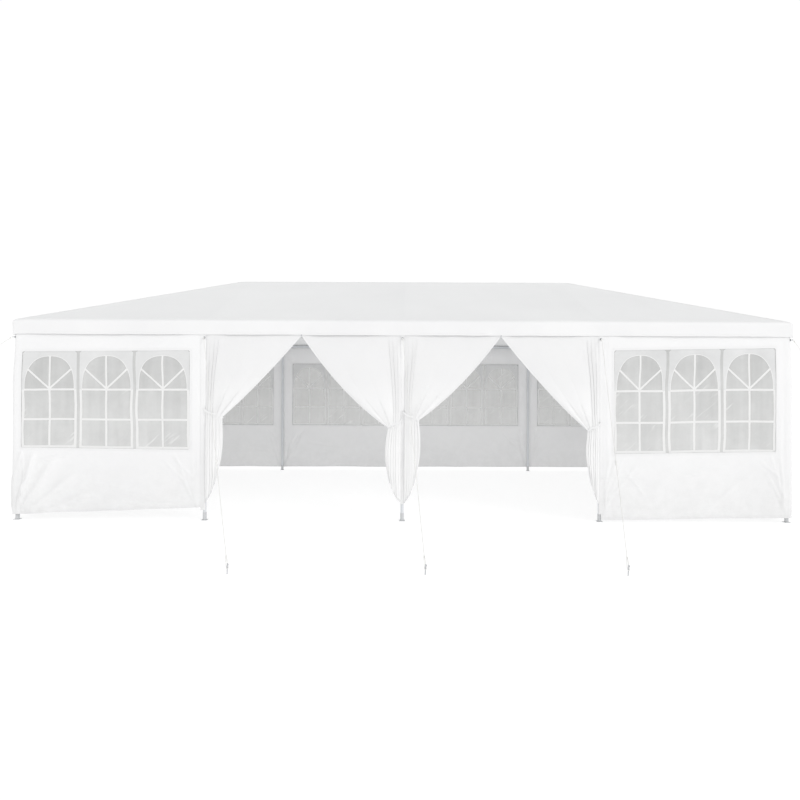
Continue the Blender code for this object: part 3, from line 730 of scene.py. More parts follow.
walls = {
    "cell": 0.0125,
    "farCell": 0.017,
    "seamWidth": 0.022,
    "hemWidth": 0.026,
    "tapeThick": 0.0008,
    "postCrease": 0.0060,
    "postReach": 0.085,
    "sway": 0.012,
    "ripple": 0.0026,
    "creaseWidth": 0.017,
    "creaseHeight": 0.0075,
    "sewn": 0.07,
    "cornerRadius": 0.030,
    "bulge": 0.022,
    "bulgeReach": 0.28,
    "deepest": -0.004,
    "calmAbove": 2.1,
    "creaseFade": (-0.06, 0.08, 0.55),
    "creaseBend": 0.012,
    "hemWave": 0.004,
    "frameRadius": 0.03,
    "tapeLift": 0.0008,
    "hemUp": 0.014,
    "stripWidth": 0.042,
    "stripLap": 0.019,
    "stripOut": 0.0325,
    "stripRib": 0.003,
    "stripRipple": 0.0012,
}


def wallPoint(axis, side, s, z, out):
    # Turns a wall's own run, height and distance outside the post line into a place in the tent.
    half = tent["halfPosts"][1 - axis]
    s, z, out = np.broadcast_arrays(s, z, out)
    if axis == 0:
        return np.stack([s, side * (half + out), z], -1)
    return np.stack([side * (half + out), s, z], -1)


def onWall(wall, s, z, out):
    # The wall's windows don't sit dead level: their heads and sills slope a little from one end to the other.
    if "slope" in wall:
        first, last = wall["span"]
        share = (s - first) / (last - first)
        sill, head = ((1 - share) * start + share * end for start, end in wall["slope"])
        low, high = tent["windowBottom"], tent["windowTop"]
        up = smoothStep(z, wall["hem"][0], low)
        between = np.clip((z - low) / (high - low), 0, 1)
        z = z + (sill * up * (1 - between) + head * between) * (1 - smoothStep(z, high, tent["wallTop"]))
    return wallPoint(wall["axis"], wall["side"], s, z, out)


def creaseHeight(s, z, creases):
    # Each crease is a soft ridge along a line, given by its two ends, its height and its width.
    total = np.zeros(np.broadcast(s, z).shape)
    before, after, fadeFrom = walls["creaseFade"]
    for s0, z0, s1, z1, height, width in creases:
        length = math.hypot(s1 - s0, z1 - z0)
        ds, dz = (s1 - s0) / length, (z1 - z0) / length
        far = (s - s0) * ds + (z - z0) * dz
        off = (s - s0) * dz - (z - z0) * ds
        fade = smoothStep(far, before, after) * (1 - smoothStep(far, fadeFrom * length, length))
        bent = off + walls["creaseBend"] * np.sin(far * 7 + s0 * 5)
        total += height * fade * np.exp(-((bent / width) ** 2))
    return total


def insideHole(s, z, wall):
    # How far a point lies inside the nearest window opening, below zero outside it.
    low, high = z - tent["windowBottom"], tent["windowTop"] - z
    return np.max([np.minimum(np.minimum(s - first, last - s), np.minimum(low, high))
                   for first, last in wall["windows"]], axis=0)


def slowOffset(s, z, wall):
    # The slow sway below the windows, and the belly that the wall makes beside the corners.
    low = 1 - smoothStep(z, 0.25, tent["windowBottom"])
    free = smoothStep(fromPosts(s, wall["posts"]), 0.0, 0.3)
    sway = walls["sway"] * low * free * (softNoise(s * 1.5, z * 0.8, wall["seed"] + 2) + 0.4)
    fromCorner = np.abs(np.abs(s) - tent["halfPosts"][wall["axis"]])
    loose = np.exp(-((fromCorner / walls["bulgeReach"]) ** 2)) * (1 - smoothStep(z, 1.6, 2.1))
    return np.maximum(sway, -0.003) + walls["bulge"] * loose


def wallOffset(s, z, wall):
    # How far the cloth stands out of its plane: creases by the posts, and none where it is sewn to film.
    seed = wall["seed"]
    away = fromPosts(s, wall["posts"])
    nearPost = np.exp(-((away / walls["postReach"]) ** 2))
    upright = softNoise(s * 34 + 0.6 * softNoise(z * 1.6, s, seed), z * 0.9, seed + 1)
    quick = walls["postCrease"] * nearPost * upright * (1.0 + 0.8 * (1 - smoothStep(z, 0.3, 1.5)))
    quick = quick * smoothStep(away, 0.02, 0.06)
    quick = quick + walls["ripple"] * (1 - nearPost) * softNoise(s * 5, z * 3.2, seed + 3)
    quick = quick + creaseHeight(s, z, wall["creases"])
    quick = quick * smoothStep(-insideHole(s, z, wall), 0.012, walls["sewn"])
    deepest = walls["deepest"]
    offset = slowOffset(s, z, wall) + np.maximum(quick, deepest)
    return np.where(z > walls["calmAbove"], np.clip(offset, deepest, 0.002), offset)


def wallCreases(wall):
    # Pulls that run from the windows' lower corners to the posts' feet, and short ones above the windows.
    chance = np.random.default_rng(wall["seed"])
    creases = []
    height, width = walls["creaseHeight"], walls["creaseWidth"]
    for first, last in wall["windows"]:
        for corner, way in ((first, -1), (last, 1)):
            for k in range(3):
                s0 = corner + chance.uniform(-0.04, 0.30) * -way
                z0 = tent["windowBottom"] - 0.02 - 0.05 * k
                s1 = corner + way * chance.uniform(0.0, 0.14)
                z1 = chance.uniform(0.12, 0.5)
                creases.append((s0, z0, s1, z1, height * chance.uniform(0.4, 1.0), width))
        middle = chance.uniform(first, last)
        reach = chance.uniform(0.3, 0.7)
        level = chance.uniform(0.3, 0.6)
        end = middle + reach * chance.choice([-1, 1])
        creases.append((middle, level + 0.1, end, level, 0.6 * height, width))
        for k in range(2):
            s0 = chance.uniform(first, last)
            creases.append((s0, 2.12, s0 + chance.uniform(-0.2, 0.2), 2.01, 0.4 * height, width))
    for post in wall["posts"]:
        # Folds that fan upwards from each post's foot, deepest at the corners.
        atCorner = abs(post) == tent["halfPosts"][wall["axis"]]
        deep = wall.get("cornerFolds", 1.3) if atCorner else 0.8
        for way in (-1, 1):
            for k in range(4):
                lean = chance.uniform(0.02, 0.30)
                creases.append((post + way * (0.03 + 0.02 * k), 0.10 + 0.03 * k, post + way * (0.06 + lean),
                                chance.uniform(0.6, 1.5), height * deep * chance.uniform(0.5, 1.1),
                                width * chance.uniform(0.5, 1.1)))
    return creases + wall.get("ownCreases", [])


def stripAlong(shape, wall, line, width, closed=False):
    # A tape on the outside of a wall, along a line given as run and height.
    s, z = line[:, 0], line[:, 1]
    points = onWall(wall, s, z, wallPlane(wall) + wallOffset(s, z, wall) + walls["tapeLift"])
    run = np.roll(points, -1, 0) - np.roll(points, 1, 0) if closed else np.gradient(points, axis=0)
    out = np.zeros(3)
    out[1 - wall["axis"]] = wall["side"]
    sideways = np.cross(run, out)
    addStrip(shape, points, sideways, out, width, walls["tapeThick"], closed)


def wallPlane(wall):
    return wall.get("out", tent["wallOut"])


def roundedFrame(first, last, low, high, step=0.02):
    # A closed line round a window, with rounded corners.
    radius = walls["frameRadius"]
    points = []
    corners = ((last - radius, high - radius, 0), (first + radius, high - radius, 90),
               (first + radius, low + radius, 180), (last - radius, low + radius, 270))
    for (s, z, start), (sNext, zNext, turned) in zip(corners, corners[1:] + corners[:1]):
        angles = np.radians(np.linspace(start, start + 90, 7))
        arc = np.stack([s + radius * np.cos(angles), z + radius * np.sin(angles)], -1)
        end = np.array([sNext + radius * math.cos(angles[-1]), zNext + radius * math.sin(angles[-1])])
        count = max(2, int(np.linalg.norm(end - arc[-1]) / step))
        points += [arc, arc[-1] + (end - arc[-1]) * np.linspace(0, 1, count + 1)[1:-1, None]]
    return np.concatenate(points)


def hangWall(wall):
    wall["creases"] = wallCreases(wall)
    axis, side, cell = wall["axis"], wall["side"], wall["cell"]
    first, last = wall["span"]
    stops = [first]
    for start, end in wall["windows"]:
        stops += [cell, start, cell, end]
    runs = spaced(*stops, cell, last)
    heights = [wall["hem"][0]]
    for stop in ("windowBottom", "windowTop", "wallTop"):
        heights += [cell, tent[stop]]
    heights = spaced(*heights)
    s, z = np.meshgrid(runs, heights)
    # The hem is a little lower at one end than at the other.
    lift = (wall["hem"][1] - wall["hem"][0]) * (s - first) / (last - first)
    z = z + lift * (1 - smoothStep(z, wall["hem"][0], tent["windowBottom"]))
    z = z + walls["hemWave"] * softNoise(s * 3, 0, wall["seed"] + 5) * (1 - smoothStep(z, 0.1, 0.4))
    out = wallPlane(wall) + wallOffset(s, z, wall)
    points = onWall(wall, s, z, out)
    if wall["wraps"]:
        # The ends of the front and back walls bend round the corner posts.
        halfX, halfY = tent["halfPosts"]
        beyond = np.maximum(0, np.abs(s) - halfX)
        angle = beyond / walls["cornerRadius"]
        points[..., 0] = np.where(beyond > 0, np.sign(s) * (halfX + out * np.sin(angle)), points[..., 0])
        points[..., 1] = np.where(beyond > 0, side * (halfY + out * np.cos(angle)), points[..., 1])
    middleS = (runs[:-1] + runs[1:]) / 2
    middleZ = (heights[:-1] + heights[1:]) / 2
    keep = np.ones((len(middleZ), len(middleS)), bool)
    for start, end in wall["windows"]:
        across = (middleS > start) & (middleS < end)
        upright = (middleZ > tent["windowBottom"]) & (middleZ < tent["windowTop"])
        keep &= ~(upright[:, None] & across[None])
    shape = newShape()
    outwards = (axis == 0) == (side < 0)
    addGrid(shape, points, np.stack([s, z], -1), keep, flip=not outwards)
    sheetPiece = makePiece(wall["name"], shape, [wallCloth])
    trim = newShape()
    for hole in wall["windows"]:
        frameLine = roundedFrame(*hole, tent["windowBottom"], tent["windowTop"])
        stripAlong(trim, wall, frameLine, walls["seamWidth"], closed=True)
    low = np.stack([points[0, :, axis], z[0] + walls["hemUp"]], -1)
    inside = np.abs(low[:, 0]) < tent["halfPosts"][axis] - 0.001
    stripAlong(trim, wall, low[inside], walls["hemWidth"])
    seams = makePiece(wall["name"] + "Seams", trim, [hemCloth], sharp=50)
    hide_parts(wall["node"])


corner = tent["halfPosts"][0] + walls["cornerRadius"] * math.pi / 2
backWindows = [(a + 0.18, b - 0.18) for a, b in zip(tent["postsX"], tent["postsX"][1:])]
endWindows = [(a + 0.13, b - 0.13) for a, b in zip(tent["postsY"], tent["postsY"][1:])]
frontWall = {"axis": 0, "side": -1, "wraps": True, "cell": walls["cell"]}
endWall = {"axis": 1, "span": (-2.0, 2.0), "windows": endWindows, "posts": tent["postsY"], "wraps": False,
           "cell": walls["farCell"], "out": 0.0312}
# Own creases: from run and height, to run and height, how high and how wide.
wallList = [
    {**frontWall, "name": "frontLeftWall", "node": "front_left_window_wall", "span": (-corner, -2.318),
     "hem": (0.066, 0.155), "windows": [(-4.44, -2.47)], "posts": (-4.5, -2.31), "seed": 11,
     "slope": ((-0.007, -0.029), (-0.029, -0.006)), "cornerFolds": 2.2,
     "ownCreases": [(-4.40, 0.16, -3.95, 0.86, 0.030, 0.055), (-4.36, 0.10, -3.70, 0.62, 0.026, 0.05),
                    (-4.30, 0.06, -3.45, 0.38, 0.020, 0.04), (-4.44, 0.22, -4.24, 0.95, 0.024, 0.03),
                    (-4.20, 0.72, -3.80, 0.80, 0.010, 0.014), (-3.2, 0.20, -2.5, 0.17, 0.008, 0.016),
                    (-3.9, 0.19, -3.3, 0.24, 0.008, 0.02)],
     "restsOn": ["front_eave_rail", "front_left_corner_post", "front_left_post"],
     "glass": ("frontLeftWindow", "front_left_window")},
    {**frontWall, "name": "frontRightWall", "node": "front_right_window_wall", "span": (2.318, corner),
     "hem": (0.022, 0.062), "windows": [(2.455, 4.355)], "posts": (2.31, 4.5), "seed": 12,
     "slope": ((-0.059, -0.020), (0.009, 0.049)), "cornerFolds": 1.0,
     "ownCreases": [(3.5, 0.10, 4.1, 0.62, 0.012, 0.04), (3.3, 0.60, 3.9, 0.70, 0.008, 0.03),
                    (4.42, 0.2, 4.38, 1.4, 0.010, 0.014), (2.6, 0.62, 2.9, 0.2, 0.007, 0.02)],
     "restsOn": ["front_eave_rail", "front_right_corner_post", "front_right_post"],
     "glass": ("frontRightWindow", "front_right_window")},
    {**frontWall, "name": "backWall", "node": "back_wall", "side": 1, "span": (-corner, corner),
     "hem": (0.055, 0.07), "windows": backWindows, "posts": tent["postsX"], "seed": 13,
     "cell": walls["farCell"], "restsOn": ["back_eave_rail"], "glass": ("backWindow", "back_windows")},
    {**endWall, "name": "leftEndWall", "node": "left_end_wall", "side": -1, "hem": (0.08, 0.075), "seed": 14,
     "restsOn": ["left_eave_rail"], "glass": ("leftEndWindow", "left_end_windows")},
    {**endWall, "name": "rightEndWall", "node": "right_end_wall", "side": 1, "hem": (0.075, 0.08), "seed": 15,
     "restsOn": ["right_eave_rail"], "glass": ("rightEndWindow", "right_end_windows")},
]
for wall in wallList:
    hangWall(wall)


def hangPostStrip(name, post, wallSide, hem, seed):
    # A strip down a door post, over the join between its neighbours.
    width = walls["stripWidth"]
    lap = walls["stripLap"]
    runs = np.linspace(-width / 2 - lap * (wallSide < 0), width / 2 + lap * (wallSide > 0), 13)
    heights = spaced(hem, 0.02, tent["wallTop"])
    s, z = np.meshgrid(runs, heights)
    rib = walls["stripRib"] * np.exp(-((s / 0.012) ** 2))
    rib = rib + walls["stripRipple"] * softNoise(s * 30, z * 1.6, seed)
    out = walls["stripOut"] + rib * (1 - smoothStep(z, 2.0, 2.14))
    shape = newShape()
    addGrid(shape, wallPoint(0, -1, s + post, z, out), np.stack([s, z], -1))
    strip = makePiece(name, shape, [wallCloth])


hangPostStrip("leftPostStrip", -2.31, -1, 0.12, 21)
hangPostStrip("middlePostStrip", 0.0, 0, 0.20, 22)
hangPostStrip("rightPostStrip", 2.31, 1, 0.09, 23)
print("walls hung:", len(wallList))

# Windows: clear film behind each hole, printed with three arched lights

window = {
    "lap": 0.016,
    "lapBehind": 0.0022,
    "cell": 0.026,
    "printThick": 0.0003,
    "margin": 0.011,
    "lightGap": 0.034,
    "jamb": 0.028,
    "bar": 0.023,
    "sill": 0.026,
    "transoms": (1.186, 1.535),
    "archTop": 1.93,
    "archPower": 2.5,
    "fanAngle": 46,
    "bow": 0.0026,
    "ripple": 0.0012,
    "wander": 0.0095,
    "archLine": 0.007,
}


def filmOut(s, z, wall):
    # The film is sewn in just behind the wall's face, and bows a little inside its hole.
    seed = wall["seed"] + 40
    own = window["bow"] * softNoise(s * 2.4, z * 1.7, seed)
    own = own + window["ripple"] * softNoise(s * 8, z * 6, seed + 1)
    own = own * smoothStep(insideHole(s, z, wall), 0.0, 0.12)
    return wallPlane(wall) + slowOffset(s, z, wall) - window["lapBehind"] + own


def printPlace(wall, s, z, extra):
    # The print wanders a little with the film.
    seed = wall["seed"] + 60
    movedS = s + window["wander"] * softNoise(z * 3.8, s * 1.3, seed)
    movedZ = z + 0.6 * window["wander"] * softNoise(s * 2.3, z * 0.8, seed + 1)
    out = filmOut(movedS, movedZ, wall) + extra
    return onWall(wall, movedS, movedZ, out)


def printBar(shape, wall, start, end, width, step=0.03):
    line = np.asarray(start) + (np.asarray(end) - start) * np.linspace(
        0, 1, max(2, int(math.dist(start, end) / step)) + 1)[:, None]
    printBand(shape, wall, line, width)


def printBand(shape, wall, line, width):
    # A printed line on both faces of the film.
    run = np.gradient(line, axis=0)
    sideways = unit(np.stack([-run[:, 1], run[:, 0]], -1)) * width / 2
    gap = window["printThick"]
    rings = []
    for way, extra in ((-1, -gap), (1, -gap), (1, gap), (-1, gap)):
        edge = line + way * sideways
        rings.append(printPlace(wall, edge[:, 0], edge[:, 1], extra))
    addSleeve(shape, np.stack(rings, 1), np.repeat(line[:, None], 4, 1))


def printLight(bars, corners, wall, first, last):
    low, high = tent["windowBottom"] + window["margin"], tent["windowTop"] - window["margin"]
    jamb, bar = window["jamb"], window["bar"]
    middle, half = (first + last) / 2, (last - first) / 2 - jamb
    spring = window["transoms"][1]
    for s in (first + jamb / 2, last - jamb / 2):
        printBar(bars, wall, (s, low), (s, spring), jamb)
    printBar(bars, wall, (first, low + window["sill"] / 2), (last, low + window["sill"] / 2), window["sill"])
    for z in window["transoms"]:
        printBar(bars, wall, (middle - half - 0.004, z), (middle + half + 0.004, z), bar)
    printBar(bars, wall, (middle, low), (middle, spring), bar)
    hub = spring + 0.5 * bar
    for turn in (-window["fanAngle"], 0, window["fanAngle"]):
        way = np.array([math.sin(math.radians(turn)), math.cos(math.radians(turn))])
        reach = 0.1
        while (abs(way[0]) * reach / half) ** window["archPower"] + (
                way[1] * reach / (window["archTop"] - spring)) ** window["archPower"] < 1:
            reach += 0.002
        printBar(bars, wall, (middle, hub), np.array([middle, spring]) + way * (reach + 0.004), bar * 0.9)
    # The printed corners between the arch and the square head: one band of quads, wide where the arch falls.
    turns = np.linspace(-math.pi / 2, math.pi / 2, 49)
    power = 2 / window["archPower"]
    archS = middle + half * np.sign(turns) * np.abs(np.sin(turns)) ** power
    archZ = spring + (window["archTop"] - spring) * np.cos(turns) ** power
    slant = np.abs(np.tan(np.clip(turns, -1.5, 1.5)))
    upperCorner = 0.95  # the slant that the square head's corners have
    reachS = middle + (last - middle) * np.sign(turns) * np.minimum(1, slant / upperCorner)
    reachS = np.clip(reachS, first, last)
    reachZ = spring + (high - spring) * np.minimum(1, upperCorner / np.maximum(slant, 1e-6))
    reachZ[[0, -1]] = spring
    archZ[[0, -1]] = spring
    rows = np.linspace(0, 1, 6)[:, None]
    s = archS + (reachS - archS) * rows
    z = archZ + (reachZ - archZ) * rows
    gap = window["printThick"]
    top = printPlace(wall, s, z, 0.7 * gap)
    under = printPlace(wall, s, z, -0.7 * gap)
    outwards = (wall["axis"] == 0) == (wall["side"] < 0)
    cloth = np.stack([s, z], -1)
    a = addGrid(corners, top, cloth, flip=outwards)
    b = addGrid(corners, under, cloth, flip=not outwards)
    for line, other in ((a[0], b[0]), (b[-1], a[-1]), (b[:, 0], a[:, 0]), (a[:, -1], b[:, -1])):
        addFaces(corners, np.stack([line[:-1], line[1:], other[1:], other[:-1]], -1))
    # A bright arch line at the glass.
    printBand(bars, wall, np.stack([archS, archZ], -1), window["archLine"])


def glazeWindow(wall, number, hole):
    lap = window["lap"]
    first, last = hole[0] + window["margin"], hole[1] - window["margin"]
    each = (last - first - 2 * window["lightGap"]) / 3
    starts = [first + k * (each + window["lightGap"]) for k in range(3)]
    stops = [hole[0] - lap, window["cell"], hole[0]]
    for start in starts:
        stops += [window["cell"], start, window["cell"], start + each]
    runs = spaced(*stops, window["cell"], hole[1], window["cell"], hole[1] + lap)
    low, high = tent["windowBottom"], tent["windowTop"]
    heights = spaced(low - lap, window["cell"], low, window["cell"], high, window["cell"], high + lap)
    s, z = np.meshgrid(runs, heights)
    points = onWall(wall, s, z, filmOut(s, z, wall))
    shape = newShape()
    outwards = (wall["axis"] == 0) == (wall["side"] < 0)
    middles = (runs[:-1] + runs[1:]) / 2
    bare = ~np.any([(middles > start) & (middles < start + each) for start in starts], axis=0)
    marks = np.repeat(bare[None], len(heights) - 1, 0).astype(int)
    marks[[0, -1]] = 2
    marks[:, [0, -1]] = 2
    addGrid(shape, points, np.stack([s, z], -1), marks=marks, flip=not outwards)
    glassName, glassNode = wall["glass"]
    name = glassName + (str(number + 1) if len(wall["windows"]) > 1 else "")
    film = makePiece(name, shape, [windowFilm, windowEdgeFilm, hemCloth])
    bars, corners = newShape(), newShape()
    for start in starts:
        printLight(bars, corners, wall, start, start + each)
    barPiece = makePiece(name + "Bars", bars, [whitePrint], sharp=50)
    cornerPiece = makePiece(name + "Corners", corners, [cornerPrint], sharp=50)
    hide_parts(glassNode)


for wall in wallList:
    for number, hole in enumerate(wall["windows"]):
        glazeWindow(wall, number, hole)
print("windows glazed")

# Doors: each bay has one curtain, unzipped from below, with both halves drawn back and tied to the posts

door = {
    "edge": 0.016,
    "head": 2.16,
    "rowStep": 0.016,
    "tailRows": 52,
    "bandPanels": (0.0, 0.36, 0.7),
    "facePanels": (0.0, 0.36, 0.7, 1.0),
    "bandColumns": 7,
    "faceColumns": 14,
    "tuckColumns": 6,
    "tuckMost": (0.03, 0.07, 0.11, 0.14, 0.17),
    "tuckLeast": 0.0012,
    "tuckClear": 0.010,
    "tuckLean": 0.24,
    "layer": 0.0026,
    "plump": 0.005,
    "creaseTop": 0.165,
    "creaseLow": 0.105,
    "belly": 0.016,
    "tailAtPost": 0.21,
    "tailBelly": 0.04,
    "squeeze": 0.25,
    "squeezeReach": 0.07,
    "smoothing": 2,
    "tapeWidth": 0.018,
    "tapeThick": 0.001,
    "strapWidth": 0.024,
    "strapThick": 0.0016,
    "strapFront": 2.0655,
    "strapBehind": 2.0245,
    "strapRise": 0.045,
    "strapTilt": 0.05,
    "zipLift": 0.0016,
    "lowestHem": 0.09,
    "sliderOut": 2.039,
    "sliderSize": (0.011, 0.006, 0.014),
    "pullSize": (0.007, 0.0018, 0.032),
}
doors = [
    {"name": "leftDoor", "node": "left_door_curtain", "span": (-2.31, 0.0), "seed": 31, "flaps": (
        {"half": 1.131, "tie": 1.205, "reach": 0.219, "hemReach": 0.14, "hem": 0.44, "droop": 0.07},
        {"half": 1.179, "tie": 1.09, "reach": 0.165, "hemReach": 0.15, "hem": 0.45, "droop": 0.20})},
    {"name": "rightDoor", "node": "right_door_curtain", "span": (0.0, 2.31), "seed": 35, "flaps": (
        {"half": 1.145, "tie": 1.18, "reach": 0.19, "hemReach": 0.14, "hem": 0.42, "droop": 0.16},
        {"half": 1.165, "tie": 1.06, "reach": 0.155, "hemReach": 0.11, "hem": 0.43, "droop": 0.10})},
]


def zipEdge(flap):
    # Reach of the zip edge from its post, by height, from the door's head to the tie.
    t = np.linspace(0, 1, 60)[:, None]
    head = np.array([flap["half"], door["head"]])
    waist = np.array([flap["reach"], flap["tie"]])
    bend = (head + waist) / 2 - (0, flap["droop"])
    return (head * (1 - t) ** 2 + 2 * bend * t * (1 - t) + waist * t ** 2)[::-1]


def flapRow(flap, zipX, creaseX, high, down, height, seed):
    # One level course across a flap, from the post to the zip: panels, with a tuck folded back behind each.
    edge = door["edge"]
    bounds = [edge + (creaseX - edge) * share for share in door["bandPanels"]]
    bounds += [creaseX + (zipX - creaseX) * share for share in door["facePanels"]]
    loose = 1 - smoothStep(high, 0.25, 1.0)
    for k in range(1, len(bounds) - 1):
        bounds[k] += 0.006 * loose * float(softNoise(height * 2.1, k * 3.1, seed))
    spare = max(0.0, flap["half"] - zipX) / 2
    room = [min(most, bound - edge - door["tuckClear"]) for most, bound in zip(door["tuckMost"], bounds[1:])]
    inBand = sum(room[:3])
    gate = 1 - smoothStep((height - flap["tie"]) if down == 0 else 0.0, 0.02, 0.40)
    share = min(1.0, spare / inBand)
    rest = min(1.0, max(0.0, spare - inBand) / sum(room[3:])) * gate
    tucks = [max(door["tuckLeast"], r * (share if k < 3 else rest)) for k, r in enumerate(room)]
    lean = door["tuckLean"]
    depth = lean * max(tucks) + door["layer"]
    squeeze = 1 - door["squeeze"] * math.exp(-(((height - flap["tie"]) / door["squeezeReach"]) ** 2))
    x, back = [], []
    for k in range(len(bounds) - 1):
        steps = door["bandColumns"] if k < 3 else door["faceColumns"]
        t = np.linspace(0, 1, steps + 1)
        swell = door["plump"] * loose * (0.6 + 0.4 * float(softNoise(height * 1.7, k * 5.3, seed + 1)))
        start = depth if k == 0 else door["layer"] * min(1.0, tucks[k - 1] / 0.02)
        x.append(bounds[k] + (bounds[k + 1] - bounds[k]) * t)
        back.append(start * (1 - t) ** 1.5 - swell * np.sin(math.pi * t))
        if k < len(tucks):
            t = np.linspace(0, 1, door["tuckColumns"] + 1)[1:]
            x += [bounds[k + 1] - tucks[k] * t, bounds[k + 1] - tucks[k] * (1 - t)]
            behind = door["layer"] * min(1.0, tucks[k] / 0.02)
            back += [lean * tucks[k] * t, lean * tucks[k] * (1 - t) + behind]
    x, back = np.concatenate(x), np.concatenate(back)
    for turn in range(door["smoothing"]):
        x[1:-1] = (x[:-2] + 2 * x[1:-1] + x[2:]) / 4
        back[1:-1] = (back[:-2] + 2 * back[1:-1] + back[2:]) / 4
    face = np.clip((x - creaseX) / (zipX - creaseX), 0, 1)
    belly = door["belly"] * np.sin(math.pi * face) * math.sin(math.pi * min(1.0, high)) ** 0.8 * (down == 0)
    fan = 0.5 + 0.5 * np.cos(math.tau * (2.4 * face + 0.1 * float(softNoise(height * 3, 0, seed + 3)) + 0.15))
    fan = 0.007 * fan * (1 - smoothStep(high, 0.05, 0.6)) * smoothStep(face, 0, 0.2) * (down == 0)
    small = 0.0020 * softNoise(x * 7, height * 5, seed + 4) * smoothStep(face, 0, 0.1)
    y = -(2.0 + tent["wallOut"] - 0.002) - (depth - back) * squeeze - belly - fan - small
    return x, y


def flapGrid(flap, seed):
    curve = zipEdge(flap)
    above = spaced(tent["wallTop"], door["rowStep"], door["head"], door["rowStep"], flap["tie"])
    below = np.linspace(0, 1, door["tailRows"])[1:]
    points, cloth = [], []
    for height, down in [(h, 0.0) for h in above] + [(flap["tie"], d) for d in below]:
        high = min(1.0, max(0.0, (height - flap["tie"]) / (door["head"] - flap["tie"])))
        zipX = float(np.interp(height, curve[:, 1], curve[:, 0]))
        if height >= door["head"] - 1e-6:
            zipX = flap["half"]
        if down > 0:
            zipX = flap["reach"] + (flap["hemReach"] - flap["reach"]) * down
            zipX += door["tailBelly"] * math.sin(math.pi * down)
        spread = float(smoothStep(high, 0.15, 1.0))
        creaseX = door["creaseLow"] + (door["creaseTop"] - door["creaseLow"]) * spread
        creaseX = min(creaseX, 0.56 * zipX)
        level = height - 0.8 * down
        x, y = flapRow(flap, zipX, creaseX, high, down, level, seed)
        run = np.r_[0, np.cumsum(np.hypot(np.diff(x), np.diff(y)))]
        along = 0.5 * run / run[-1] + 0.5 * np.clip((x - door["edge"]) / (zipX - door["edge"]), 0, 1)
        hem = door["tailAtPost"] + (flap["hem"] - door["tailAtPost"]) * along ** 1.15
        hem = hem + 0.008 * softNoise(run * 9, 0, seed + 5)
        z = height + (hem - height) * down
        y = y - 0.010 * math.sin(math.pi * down) * softNoise(x * 9, down * 3, seed + 6)
        points.append(np.stack([x, y, z + 0 * x], -1))
        cloth.append(np.stack([run, z + 0 * x], -1))
    return np.array(points), np.array(cloth), len(above)


def hangDoor(spec):
    first, last = spec["span"]
    shape, trim = newShape(), newShape()
    for flap, post, way in zip(spec["flaps"], (first, last), (1, -1)):
        points, cloth, tieRow = flapGrid(flap, spec["seed"] + (0 if way > 0 else 9))
        points = points * (way, 1, 1) + (post, 0, 0)
        cloth = cloth * (way, 1) + (post, 0)
        marks = np.zeros((points.shape[0] - 1, points.shape[1] - 1), int)
        marks[-2:] = 1
        addGrid(shape, points, cloth, marks=marks, flip=way > 0)
        headRow = int(np.argmin(np.abs(points[:tieRow, -1, 2] - door["head"])))
        edge = points[headRow:, -1]
        inward = unit(points[headRow:, -4] - edge)
        front, width = edge - (0, door["zipLift"], 0), door["tapeWidth"]
        addStrip(trim, front + inward * width / 2, inward, (0, -1, 0), width, door["tapeThick"])
        addTube(trim, front, door["zipLift"], 6)
        makeTie(trim, flap, post, way)
    # The slider that stopped at the top of the zip, and its pull.
    apex = np.array([first + spec["flaps"][0]["half"], -door["sliderOut"], door["head"]])
    addBlock(trim, apex + (0, 0, 0.004), np.eye(3), door["sliderSize"], 0.0014, mark=1)
    addBlock(trim, apex + (0.001, -0.005, -0.016), ((1, 0, 0.06), (0, 1, 0), (-0.06, 0, 1)), door["pullSize"],
             0.0007, mark=1)
    curtain = makePiece(spec["name"] + "Curtain", shape, [doorCloth, hemCloth], sharp=55)
    bm = bmesh.new()
    bm.from_mesh(curtain.data)
    bmesh.ops.remove_doubles(bm, verts=[v for v in bm.verts if v.co.z > door["head"] - 0.001], dist=0.0004)
    bm.to_mesh(curtain.data)
    bm.free()
    name = spec["name"] + "ZipAndTies"
    trimPiece = makePiece(name, trim, [hemCloth, zincSteel], sharp=50)
    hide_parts(spec["node"])


def makeTie(shape, flap, post, way):
    # A strap round the gathered cloth, sewn to the curtain beside the post. It rises towards the post.
    turn = np.linspace(0, math.tau, 65)[:-1]
    near, far = 0.004, flap["reach"] + 0.006
    middle, half = (near + far) / 2, (far - near) / 2
    front, behind = door["strapFront"], door["strapBehind"]
    cosine, sine = np.cos(turn), np.sin(turn)
    x = middle + half * np.sign(cosine) * np.abs(cosine) ** 0.55
    y = -(front + behind) / 2 - (front - behind) / 2 * np.sign(sine) * np.abs(sine) ** 0.45
    z = flap["tie"] + door["strapRise"] - door["strapTilt"] * cosine + 0.003 * np.sin(3 * turn)
    line = np.stack([post + way * x, y, z], -1)
    out = np.stack([way * cosine, -sine, 0 * sine], -1)
    addStrip(shape, line, (0, 0, 1), out, door["strapWidth"], door["strapThick"], closed=True)


for spec in doors:
    hangDoor(spec)
print("doors drawn back")

# Guy ropes: laid cord from each eye bolt to a leaning peg, with a slider to tighten it

